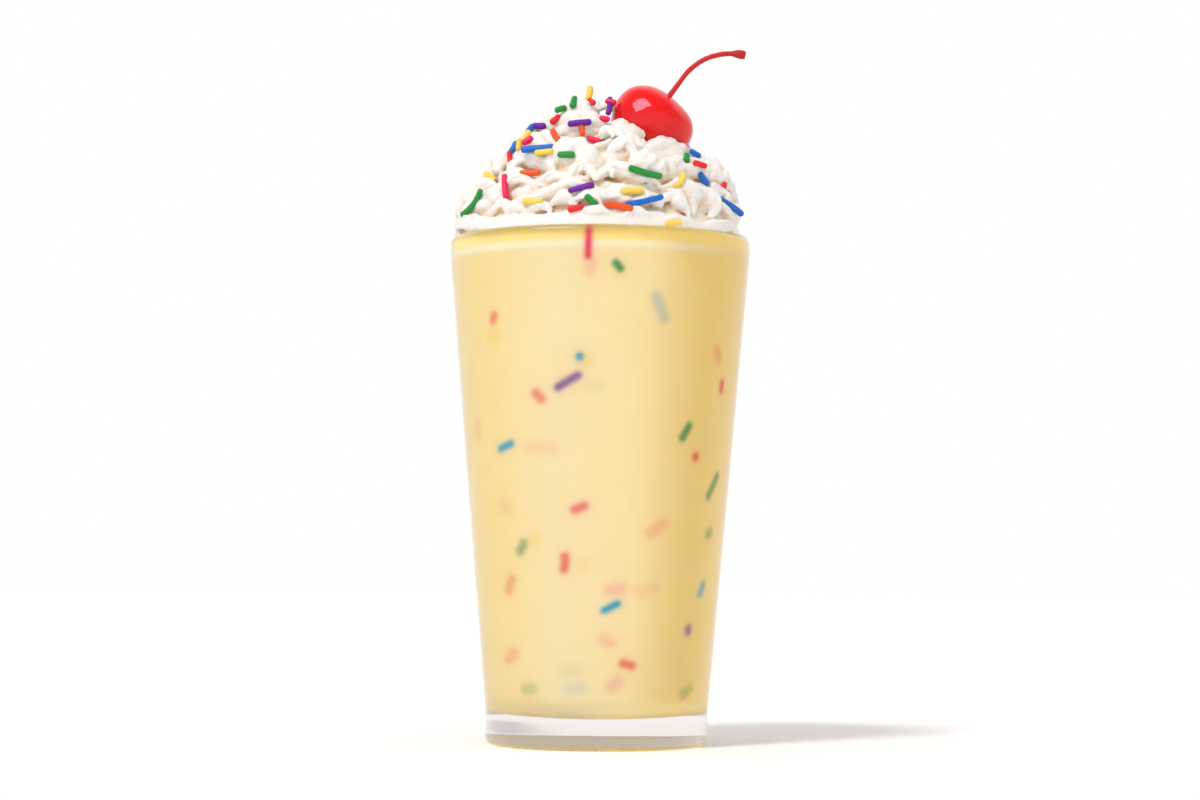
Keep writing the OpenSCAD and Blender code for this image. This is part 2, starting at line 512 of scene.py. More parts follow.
@dataclass(frozen=True)
class CreamFinish(Finish):
    """Whipped cream: off-white, with painted shade, warmer and darker, in its folds."""

    ridge: Colour = (0.84, 0.81, 0.772)
    # colour of the painted shade in the folds, warmer and darker than the ridges
    fold: Colour = (0.80, 0.63, 0.42)
    fold_least: float = 0.75
    fold_spread: float = 0.5
    depth: float = 0.0009
    scatter: Colour = (1.0, 0.8, 0.55)
    cloudy: float = 0.7
    roughness: float = 0.42
    gloss: float = 0.4
    patches: float = 90.0
    stiff_patches: float = 380.0
    grain: float = 1100.0
    stiffness: float = 3.0
    relief: float = 0.00016

    def make(self) -> bpy.types.Material:
        """Builds the material from the piece's fold attribute, which places the painted shade in the
        creases.
        """
        mat, tree, shader = self.start()
        mottle = self.mottle(tree, self.patches, self.grain)
        uneven = tree.maths("MULTIPLY_ADD", mottle.outputs["Patch"], self.fold_spread)
        uneven.node.inputs[2].default_value = self.fold_least
        # painted shade: the fold attribute, varied by the mottle, darkens and warms the creases
        share = tree.maths("MULTIPLY", tree.attribute("fold").outputs["Fac"], uneven, clamp=True)
        tree.link(tree.mix(share, self.ridge, self.fold), shader.inputs["Base Color"])
        self.set(
            shader,
            Roughness=self.roughness,
            Specular_IOR_Level=self.gloss,
            Subsurface_Weight=self.cloudy,
            Subsurface_Radius=self.scatter,
            Subsurface_Scale=self.depth,
        )
        stiff = self.mottle(tree, self.stiff_patches, self.grain)
        height = tree.maths("MULTIPLY_ADD", stiff.outputs["Patch"], self.stiffness)
        tree.link(stiff.outputs["Grain"], height.node.inputs[2])
        self.bump(tree, shader, height, self.relief)
        return mat


@dataclass(frozen=True)
class CherryFinish(Finish):
    """Wet preserved cherry: deep red flesh under a glossy skin."""

    flesh: Colour = (0.74, 0.006, 0.007)
    light: Colour = (0.75, 0.008, 0.010)
    depth: float = 0.008
    scatter: Colour = (1.0, 0.12, 0.1)
    cloudy: float = 0.8
    smooth: float = 0.25
    rough: float = 0.35
    gloss: float = 0.05
    skin: float = 0.65
    skin_ior: float = 1.5
    patches: float = 120.0
    grain: float = 900.0
    relief: float = 0.0001

    def make(self) -> bpy.types.Material:
        """Builds the material."""
        mat, tree, shader = self.start()
        patch = self.mottle(tree, self.patches, self.grain).outputs["Patch"]
        tree.link(tree.mix(patch, self.flesh, self.light), shader.inputs["Base Color"])
        rough = tree.node("ShaderNodeMapRange", in_To_Min=self.smooth, in_To_Max=self.rough)
        tree.link(patch, rough.inputs["Value"])
        tree.link(rough.outputs[0], shader.inputs["Roughness"])
        self.set(
            shader,
            Specular_IOR_Level=self.gloss,
            Subsurface_Weight=self.cloudy,
            Subsurface_Radius=self.scatter,
            Subsurface_Scale=self.depth,
            Coat_Weight=self.skin,
            Coat_Roughness=0.0,
            Coat_IOR=self.skin_ior,
        )
        self.bump(tree, shader, patch, self.relief)
        return mat


@dataclass(frozen=True)
class StemFinish(Finish):
    """Dyed stem, brighter by the fruit and browner at its woody end."""

    fruit_end: Colour = (0.66, 0.012, 0.018)
    woody_end: Colour = (0.50, 0.02, 0.014)
    late: float = 3.0
    uneven: float = 0.4
    roughness: float = 0.45
    gloss: float = 0.25
    patches: float = 300.0
    grain: float = 1500.0
    relief: float = 0.0002

    def make(self) -> bpy.types.Material:
        """Builds the material from the piece's along attribute."""
        mat, tree, shader = self.start()
        mottle = self.mottle(tree, self.patches, self.grain)
        far = tree.maths("POWER", tree.attribute("along").outputs["Fac"], self.late)
        uneven = tree.maths("MULTIPLY", mottle.outputs["Patch"], self.uneven)
        share = tree.maths("ADD", far, uneven, clamp=True)
        tree.link(tree.mix(share, self.fruit_end, self.woody_end), shader.inputs["Base Color"])
        self.set(shader, Roughness=self.roughness, Specular_IOR_Level=self.gloss)
        self.bump(tree, shader, mottle.outputs["Grain"], self.relief)
        return mat


@dataclass(frozen=True)
class SprinkleFinish(Finish):
    """Sugar sprinkle of one colour, with a slightly waxy, uneven skin."""

    colour: Colour = (0.8, 0.1, 0.1)
    darker: float = 0.84
    paler: float = 1.12
    bloom: float = 0.015
    roughness: float = 0.36
    gloss: float = 0.3
    patches: float = 500.0
    grain: float = 2500.0
    relief: float = 0.00008

    def make(self) -> bpy.types.Material:
        """Builds the material."""
        mat, tree, shader = self.start()
        mottle = self.mottle(tree, self.patches, self.grain)
        dark = tuple(self.darker * c for c in self.colour)
        pale = tuple(min(1.0, self.paler * c + self.bloom) for c in self.colour)
        tree.link(tree.mix(mottle.outputs["Patch"], dark, pale), shader.inputs["Base Color"])
        self.set(shader, Roughness=self.roughness, Specular_IOR_Level=self.gloss)
        self.bump(tree, shader, mottle.outputs["Grain"], self.relief)
        return mat


# ---------------------------------------------------------------- rods: sprinkles and the stem


class RodTree:
    """Geometry Nodes tree that turns polylines with a thickness at each point into round rods."""

    SIDES = "Sides"
    UNEVEN = "Unevenness"
    MATERIAL = "Material"
    LUMPS = 420.0  # scale of the lumps in a rod's skin
    MIDDLE = (0.5, 0.5, 0.5)  # middle value of the lumps

    def __init__(self) -> None:
        """Builds the tree once; every rod piece uses it."""
        tree = bpy.data.node_groups.new("rods", "GeometryNodeTree")
        face = tree.interface
        face.new_socket("Geometry", in_out="INPUT", socket_type="NodeSocketGeometry")
        kinds = {self.SIDES: "Int", self.UNEVEN: "Float", self.MATERIAL: "Material"}
        self.sockets = {
            name: face.new_socket(name, in_out="INPUT", socket_type="NodeSocket" + kind).identifier
            for name, kind in kinds.items()
        }
        face.new_socket("Geometry", in_out="OUTPUT", socket_type="NodeSocketGeometry")
        self.tree = tree

        t = Tree(tree)
        start = tree.nodes.new("NodeGroupInput")
        end = tree.nodes.new("NodeGroupOutput")
        curve = t.node("GeometryNodeMeshToCurve")
        along = t.node("GeometryNodeSplineParameter")
        keep = t.node("GeometryNodeStoreNamedAttribute", data_type="FLOAT", domain="POINT", in_Name="along")
        thick = t.node("GeometryNodeInputNamedAttribute", data_type="FLOAT", in_Name="thick")
        ring = t.node("GeometryNodeCurvePrimitiveCircle", in_Radius=1.0)
        sweep = t.node("GeometryNodeCurveToMesh", in_Fill_Caps=True)
        lumps = t.node("ShaderNodeTexNoise", noise_dimensions="3D", in_Scale=self.LUMPS, in_Detail=1.0)
        centred = t.node("ShaderNodeVectorMath", operation="SUBTRACT")
        centred.inputs[1].default_value = self.MIDDLE
        scaled = t.node("ShaderNodeVectorMath", operation="SCALE")
        move = t.node("GeometryNodeSetPosition")
        smooth = t.node("GeometryNodeSetShadeSmooth")
        real = t.node("GeometryNodeRealizeInstances")
        paint_all = t.node("GeometryNodeSetMaterial")
        for source, target in (
            (start.outputs["Geometry"], curve.inputs["Mesh"]),
            (curve.outputs[0], keep.inputs["Geometry"]),
            (along.outputs["Factor"], keep.inputs["Value"]),
            (keep.outputs[0], sweep.inputs["Curve"]),
            (start.outputs[self.SIDES], ring.inputs["Resolution"]),
            (ring.outputs["Curve"], sweep.inputs["Profile Curve"]),
            (thick.outputs["Attribute"], sweep.inputs["Scale"]),
            (lumps.outputs["Color"], centred.inputs[0]),
            (centred.outputs[0], scaled.inputs[0]),
            (start.outputs[self.UNEVEN], scaled.inputs["Scale"]),
            (sweep.outputs[0], move.inputs["Geometry"]),
            (scaled.outputs[0], move.inputs["Offset"]),
            (move.outputs[0], smooth.inputs["Geometry"]),
            (smooth.outputs[0], real.inputs["Geometry"]),
            (real.outputs[0], paint_all.inputs["Geometry"]),
            (start.outputs[self.MATERIAL], paint_all.inputs["Material"]),
            (paint_all.outputs[0], end.inputs["Geometry"]),
        ):
            t.link(source, target)

    def build(
        self, name: str, paths: Sequence[Path], sides: int, uneven: float, material: bpy.types.Material
    ) -> bpy.types.Object:
        """Makes one piece that holds a rod for each path.

        Args:
            name: name of the piece.
            paths: the rods' centre lines, in millimetres.
            sides: sides of a rod.
            uneven: how far its skin wanders, in millimetres.
            material: its finish.

        Returns:
            The finished piece, with the rods in its own mesh.
        """
        verts, edges, thick = [], [], []
        for points, radii in paths:
            first = len(verts)
            verts += (points * MM).tolist()
            edges += [(first + i, first + i + 1) for i in range(len(points) - 1)]
            thick += (radii * MM).tolist()
        lines = bpy.data.meshes.new(name + "_paths")
        lines.from_pydata(verts, edges, [])
        lines.attributes.new("thick", "FLOAT", "POINT").data.foreach_set("value", thick)
        host = placed(name + "_paths", lines)
        modifier = host.modifiers.new("rods", "NODES")
        modifier.node_group = self.tree
        modifier[self.sockets[self.SIDES]] = sides
        modifier[self.sockets[self.UNEVEN]] = uneven * MM
        modifier[self.sockets[self.MATERIAL]] = material
        graph = bpy.context.evaluated_depsgraph_get()
        mesh = bpy.data.meshes.new_from_object(host.evaluated_get(graph), depsgraph=graph)
        mesh.name = name
        bpy.data.objects.remove(host)
        if not mesh.materials:
            mesh.materials.append(material)
        return placed(name, mesh)


END_POINTS = np.array([0.02, 0.12, 0.3, 0.6, 1.0])  # where a round end has points, as shares of it
END_ROUNDING = 0.75  # length of a round end, in radii
END_MOST = 0.45  # longest round end, as a share of the rod
ROD_STEP = 1.3  # widest gap between a rod's middle points, in radii
BENT_POINTS = 9
BENT_LEAST = 1e-3  # smallest bend that is not taken as straight, in radians


def rod(points: np.ndarray, radius: float, taper: float) -> Path:
    """Gives a path of even thickness with round ends.

    Args:
        points: points of the centre line, in millimetres, close enough to be read as smooth.
        radius: radius of the rod.
        taper: how much thinner one end is than the other, as a share.

    Returns:
        New points along the path and the radius at each.
    """
    steps = np.linalg.norm(np.diff(points, axis=0), axis=1)
    at = np.concatenate([[0.0], np.cumsum(steps)])
    length = at[-1]
    end = min(END_ROUNDING * radius, END_MOST * length)
    count = max(2, int((length - 2 * end) / (ROD_STEP * radius)) + 2)
    middle = np.linspace(end, length - end, count)[1:-1]
    stations = np.concatenate([END_POINTS * end, middle, length - end * END_POINTS[::-1]])
    from_end = np.minimum(np.minimum(stations, length - stations) / end, 1.0)
    radii = radius * np.sqrt(1.0 - (1.0 - from_end) ** 2) * (1 + taper * (stations / length - 0.5))
    return np.stack([np.interp(stations, at, points[:, i]) for i in range(3)], axis=1), radii


def bent(centre: np.ndarray, along: np.ndarray, side: np.ndarray, length: float, bend: float) -> np.ndarray:
    """Gives the centre line of a bent rod as a circular arc.

    Args:
        centre: its middle point.
        along: its direction there.
        side: the direction that it bends towards.
        length: its length.
        bend: how far it turns from end to end, in degrees.

    Returns:
        Points from end to end.
    """
    turn = math.radians(bend)
    s = np.linspace(-0.5, 0.5, BENT_POINTS)
    if abs(turn) < BENT_LEAST:
        return centre + np.outer(s * length, along)
    radius = length / turn
    run, swing = radius * np.sin(s * turn), radius * (1 - np.cos(s * turn))
    return centre + np.outer(run, along) + np.outer(swing, side)


# ---------------------------------------------------------------- colours and layout of the sprinkles


class Sugar(Enum):
    """The plain colours that the sprinkles come in."""

    RED = (0.80, 0.010, 0.022)
    PINK = (0.82, 0.004, 0.095)
    ORANGE = (0.82, 0.085, 0.006)
    YELLOW = (0.90, 0.62, 0.08)
    GREEN = (0.012, 0.27, 0.035)
    BLUE = (0.004, 0.13, 0.56)
    PURPLE = (0.15, 0.007, 0.33)
    TEAL = (0.004, 0.36, 0.55)


@dataclass(frozen=True)
class Laid:
    """A sprinkle laid on the front of the cream.

    across and up are where its middle is seen from the front, from the axis and above the rim.
    """

    colour: Sugar
    across: float
    up: float
    slope: float
    length: float
    bend: float = 0.0
    lift: float = 0.4


@dataclass(frozen=True)
class Sunk:
    """A sprinkle in the shake, behind the front of the glass.

    across and up are where its middle is seen from the front, from the axis and above the foot,
    and stain is how strongly its colour shows through the film of shake over it.
    """

    colour: Sugar
    across: float
    up: float
    slope: float
    length: float
    stain: float = 0.85
    bend: float = 0.0


# ---------------------------------------------------------------- glass and shake


@dataclass
class PintGlass:
    """Tapered pressed pint glass with a thick clear base."""

    foot_d: float = 65.4
    foot_band_h: float = 10.0
    rim_band_h: float = 4.5
    rim_wall: float = 2.8
    foot_wall: float = 4.6
    floor_t: float = 9.0
    floor_dish: float = 1.6
    corner_r: float = 6.0
    corner_low: float = -82.0
    corner_high: float = -4.0
    foot_edge_r: float = 2.6
    hollow_d: float = 46.0
    hollow_h: float = 1.6
    step: float = 2.5
    sides: int = 160
    height: float = field(init=False)
    rim_r: float = field(init=False)

    def __post_init__(self) -> None:
        """Takes the glass's height and width from the frame."""
        low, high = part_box("glass")
        self.height = (high[2] - low[2]) / MM
        self.rim_r = (high[0] - low[0]) / 2 / MM

    @property
    def band_z(self) -> float:
        """Height at which the straight band under the rim starts."""
        return self.height - self.rim_band_h

    def inside_r(self, z: float) -> float:
        """Returns the inside radius of the wall at a height."""
        low = self.foot_d / 2 - self.foot_wall
        high = self.rim_r - self.rim_wall
        t = (z - self.foot_band_h) / (self.band_z - self.foot_band_h)
        return min(high, low + (high - low) * t)

    def outside_r(self, z: float) -> float:
        """Returns the outside radius of the tapered wall at a height."""
        t = (z - self.foot_band_h) / (self.band_z - self.foot_band_h)
        return self.foot_d / 2 + (self.rim_r - self.foot_d / 2) * min(1.0, max(0.0, t))

    def inside(self, top: float, into_wall: float = 0.0) -> list[Flat]:
        """Gives the inside as a half profile.

        Args:
            top: height at which it ends.
            into_wall: how far it is pushed into the glass.

        Returns:
            Radius and height, from the middle of the floor to the top.
        """
        corner_z = self.floor_t + self.floor_dish + self.corner_r
        corner_x = self.inside_r(corner_z) - self.corner_r
        steps = 12
        dish = [
            (corner_x * i / steps, self.floor_t + self.floor_dish * (i / steps) ** 2 - into_wall)
            for i in range(steps + 1)
        ]
        corner = arc(
            (corner_x, corner_z), self.corner_r + into_wall, self.corner_low, self.corner_high, steps
        )
        wall = [(self.inside_r(self.band_z) + into_wall, self.band_z)] if top > self.band_z else []
        return dish + corner + wall + [(self.inside_r(top) + into_wall, top)]

    def outline(self) -> list[Flat]:
        """Returns the half profile of the glass, from the axis under the foot to the axis on the floor."""
        steps = 10
        foot_r, rim_round = self.foot_d / 2, self.rim_wall / 2
        hollow = [
            (self.hollow_d / 2 * i / steps, self.hollow_h * (1 - (i / steps) ** 2))
            for i in range(steps + 1)
        ]
        edge = arc((foot_r - self.foot_edge_r, self.foot_edge_r), self.foot_edge_r, -90, 0, steps)
        rim = arc((self.rim_r - rim_round, self.height - rim_round), rim_round, 0, 180, 2 * steps)
        outer = hollow + edge + [(foot_r, self.foot_band_h), (self.rim_r, self.band_z)] + rim
        return outer + self.inside(self.height - rim_round)[-2::-1]

    def build(self, material: bpy.types.Material) -> bpy.types.Object:
        """Builds the glass and lets it stand for the CAD node."""
        glass = turned("pint_glass", spread(self.outline(), self.step), self.sides)
        glass.data.materials.append(material)
        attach(glass, ROOT)
        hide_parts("glass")
        return glass


@dataclass
class Shake:
    """The milkshake: a body that reaches just into the wall, stained round the sprinkles in it.

    A span gives where a change starts and where it is full. Those named side, unlit, back and left
    run round from the front, in radians; top spans run down from the top and foot spans up from
    the foot.
    """

    glass: PintGlass
    into_wall: float = 0.35
    top_gap: float = 0.5
    step: float = 0.72
    sides: int = 360
    film: float = 0.08
    refraction: float = 1.5
    widest: float = 0.995
    sprinkle_r: float = 0.92
    halo: float = 0.6
    faint_halo: float = 1.5
    wide_halo: float = 2.5
    wide_share: float = 0.08
    stain_reach: float = 14.0
    stain_most: float = 0.97
    # painted shade on the rich attribute: depth of its band under the rim, in the cream's shadow, and its
    # strengths
    painted_shade_band: float = 4.2
    band_start: float = 0.8
    band_full: float = 0.2
    band_painted_shade: float = 0.75
    side_painted_shade: float = 0.8
    side_top_painted_shade: float = 0.2
    left_painted_shade: float = 0.5
    # strengths of the painted glow on the shaded side and back, and at the top and foot
    glow_far: float = 0.45
    glow_ends: float = 0.55
    # painted highlight line under the rim band, and painted light near the foot, on the pale attribute
    line_painted_highlight: float = 0.8
    line_drop: float = 1.1
    foot_painted_light: float = 0.2
    side: Span = (0.2, 0.95)
    unlit: Span = (-0.4, 0.35)
    back: Span = (1.7, 2.6)
    left: Span = (0.3, 1.0)
    line_side: Span = (1.3, 0.5)
    side_top: Span = (30.0, 6.0)
    glow_top: Span = (6.0, 1.5)
    glow_foot: Span = (17.0, 11.5)
    painted_light_foot: Span = (17.0, 11.0)

    def outline(self) -> list[Flat]:
        """Returns the half profile of the shake."""
        top = self.glass.height - self.top_gap
        wall = spread(self.glass.inside(top, self.into_wall), self.step)
        cap = [(wall[-1][0] * share, top) for share in (0.97, 0.8, 0.5, 0.25, 0.0)]
        return wall + cap

    def wall_point(self, turn: float, up: float) -> tuple[np.ndarray, np.ndarray]:
        """Finds a place on the shake's side.

        Args:
            turn: degrees round the glass from the front, towards the right.
            up: height.

        Returns:
            The place and the outward direction.
        """
        a = math.radians(turn)
        out = np.array([math.sin(a), -math.cos(a), 0.0])
        r = self.glass.inside_r(up) + self.into_wall
        return out * r + np.array([0, 0, up]), out

    def seen_at(self, across: float, up: float) -> tuple[float, float]:
        """Finds the place on the shake's side that is seen through the glass at a place on the front.

        The wall bends the line of sight as a lens does, by its refraction.

        Args:
            across: distance from the axis, as seen level with the axis.
            up: height, as seen level with the axis.

        Returns:
            Degrees round the glass from the front, and the height.
        """
        outer = self.glass.outside_r(up)
        reach = self.widest * outer
        x = max(-reach, min(reach, across))
        meet = math.asin(x / outer)
        inside = math.asin(x / outer / self.refraction)
        onto_shake = math.asin(x / self.refraction / self.glass.inside_r(up))
        turn = meet - inside + onto_shake
        nearer = 1 - outer * math.cos(turn) / CAMERA_AWAY
        return math.degrees(turn), CAMERA_UP + (up - CAMERA_UP) * nearer

    def sprinkle_path(self, sunk: Sunk, radius: float, turn: float, up: float) -> np.ndarray:
        """Gives the centre line of a sprinkle that follows the wall.

        Args:
            sunk: the sprinkle.
            radius: its radius.
            turn: degrees round the glass from the front.
            up: height above the foot.

        Returns:
            Points from end to end.
        """
        slope = math.radians(sunk.slope)
        along = np.array([math.cos(slope), math.sin(slope), 0.0])
        side = np.array([-math.sin(slope), math.cos(slope), 0.0])
        mid_r = self.glass.inside_r(up) + self.into_wall
        points = []
        for x, z, _ in bent(np.zeros(3), along, side, sunk.length, sunk.bend):
            place, out = self.wall_point(turn + math.degrees(x / mid_r), up + z)
            points.append(place - out * (self.film + radius))
        return np.array(points)

    def stain(self, shake: bpy.types.Object, at: np.ndarray, stains: Sequence[Stain]) -> None:
        """Adds the attributes stain and stain_share, from the stains near each point.

        Args:
            shake: the piece.
            at: its points.
            stains: the stains.
        """
        weight = np.zeros(len(at))
        colour = np.zeros((len(at), 3))
        for path, tint, strength in stains:
            middle = path[len(path) // 2]
            near = np.nonzero(np.linalg.norm(at - middle, axis=1) < self.stain_reach)[0]
            gap = np.min(np.linalg.norm(at[near, None] - path[None], axis=2), axis=1)
            gap = np.maximum(gap - self.sprinkle_r, 0.0)
            halo = strength * self.halo + (1 - strength) * self.faint_halo
            wide = self.wide_share * np.exp(-((gap / self.wide_halo) ** 2))
            w = strength * (np.exp(-((gap / halo) ** 2)) + wide)
            weight[near] += w
            colour[near] += w[:, None] * np.array(tint)
        least = 1e-6
        add_colour(shake, "stain", colour / np.maximum(weight, least)[:, None])
        add_value(shake, "stain_share", np.clip(weight, 0, self.stain_most))

    def shade(self, shake: bpy.types.Object, at: np.ndarray) -> None:
        """Adds the attributes rich, glow and pale from where each point lies: painted shade,
        painted glow, and a painted highlight line with painted light near the foot.

        Args:
            shake: the piece.
            at: its points.
        """
        up = at[:, 2]
        turn = np.arctan2(at[:, 0], -at[:, 1])
        top, band_z = self.glass.height, self.glass.height - self.painted_shade_band
        back = smoothstep(*self.back, -turn)

        def under_top(span: Span) -> np.ndarray:
            """Returns a smooth rise over a span below the top."""
            return smoothstep(top - span[0], top - span[1], up)

        # painted shade: the band under the rim in the cream's shadow, the right side and back away from the
        # light, and the left
        painted_shade = self.band_painted_shade * smoothstep(band_z - self.band_start, band_z + self.band_full, up)
        side = self.side_painted_shade + self.side_top_painted_shade * under_top(self.side_top)
        painted_shade = np.maximum(painted_shade, side * (smoothstep(*self.side, turn) + back))
        painted_shade = np.maximum(painted_shade, self.left_painted_shade * smoothstep(*self.left, -turn))
        add_value(shake, "painted_shade", painted_shade)
        # painted glow: light given off on the shaded side and back, and near the top and the foot
        ends = under_top(self.glow_top) + smoothstep(*self.glow_foot, up)
        unlit = smoothstep(*self.unlit, turn) + back
        add_value(shake, "glow", self.glow_far * unlit + self.glow_ends * ends)
        # painted highlight: a pale line under the rim band, where the glass's corner catches the light, and
        # painted light near the foot
        line = np.exp(-((up - (band_z - self.line_drop)) ** 2))
        pale = self.line_painted_highlight * line * smoothstep(*self.line_side, turn)
        add_value(shake, "pale", pale + self.foot_painted_light * smoothstep(*self.painted_light_foot, up))

    def build(self, material: bpy.types.Material, stains: Sequence[Stain]) -> bpy.types.Object:
        """Builds the shake.

        Args:
            material: its finish.
            stains: the stains.

        Returns:
            The piece.
        """
        shake = turned("shake", self.outline(), self.sides)
        at = points_of(shake)
        self.stain(shake, at, stains)
        self.shade(shake, at)
        shake.data.materials.append(material)
        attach(shake, ROOT)
        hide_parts("drink")
        return shake


# ---------------------------------------------------------------- whipped cream


def plump(t: np.ndarray, start: float, run: float, power: float) -> np.ndarray:
    """Tells how full a rope is along its length, thinner towards both ends.

    Args:
        t: shares of the length.
        start: how full its first end is, as a share of half a wave.
        run: how much of half a wave the rope takes up.
        power: less than one for blunter ends.

    Returns:
        A number up to 1 at each place.
    """
    return np.sin(np.pi * np.clip(start + run * t, 0, 1)) ** power


@dataclass(frozen=True)
class Grooves:
    """The marks that the nozzle leaves along a rope."""

    count: int = 7
    depth: float = 0.24
    twist: float = 90.0
    crest: float = 0.7


FEWEST_GROOVES = 5
MORE_GROOVES = 3
SOFT = Grooves(4, 0.09, 60.0, 1.0)
SHARP = Grooves(7, 0.32, 140.0, 0.6)


@dataclass(frozen=True)
class Lobe:
    """One fold of cream as it is seen from the front.

    Its places are distances to the right of the axis and above the rim. Unless it says how far in
    front of the axis it lies, it follows the heap.
    """

    start: Flat
    middle: Flat
    end: Flat
    thick: float
    tip: float = 0.7
    sunk: float = 0.3
    grooves: Grooves = Grooves()
    front: Optional[float] = None


@dataclass(frozen=True)
class Squeeze:
    """One short rope of cream round the heap, given in degrees from the front towards the right."""

    turn: float
    out: float
    up: float
    thick: float
    run: float
    climb: float = 0.0
    curl: float = 0.0
    grooves: Grooves = Grooves()

    def path(self) -> Path:
        """Returns the points of the centre line above the rim and the rope's radius at each."""
        t = np.linspace(0.0, 1.0, ROPE_POINTS)
        angle = np.radians(self.turn + self.run * (t - 0.5))
        out = self.out - self.curl * (2 * t - 1) ** 2
        up = self.up + self.climb * (t - 0.5)
        points = np.stack([out * np.sin(angle), -out * np.cos(angle), up], axis=1)
        return points, self.thick * (0.5 + 0.5 * plump(t, 0.12, 0.76, 0.7))


@dataclass(frozen=True)
class Tier:
    """One ring of squeezes round the heap, and how far each may stray from the ring's own sizes."""

    count: int
    out: float
    up: float
    thick: float
    run: float
    climb: float
    first: float
    curl: float = 2.5
    groove_depth: float = 0.18
    twist: float = 70.0
    stray_turn: float = 8.0
    stray_out: float = 1.2
    stray_up: float = 1.3
    stray_thick: float = 0.14
    stray_run: float = 0.2
    stray_climb: float = 0.5
    stray_curl: float = 2.0
    stray_twist: float = 60.0

    def squeezes(self, rng: np.random.Generator) -> list[Squeeze]:
        """Returns the ring's squeezes, each a little different."""
        made = []
        for i in range(self.count):
            wobble = rng.uniform(-1, 1, 7)
            twist = self.twist + self.stray_twist * wobble[0]
            count = FEWEST_GROOVES + int(abs(wobble[2]) * MORE_GROOVES)
            made.append(
                Squeeze(
                    turn=self.first + 360.0 * i / self.count + self.stray_turn * wobble[0],
                    out=self.out + self.stray_out * wobble[1],
                    up=self.up + self.stray_up * wobble[2],
                    thick=self.thick * (1 + self.stray_thick * wobble[3]),
                    run=self.run * (1 + self.stray_run * wobble[4]),
                    climb=self.climb * (1 + self.stray_climb * wobble[5]),
                    curl=self.curl + self.stray_curl * wobble[6],
                    grooves=Grooves(count, self.groove_depth, twist),
                )
            )
        return made


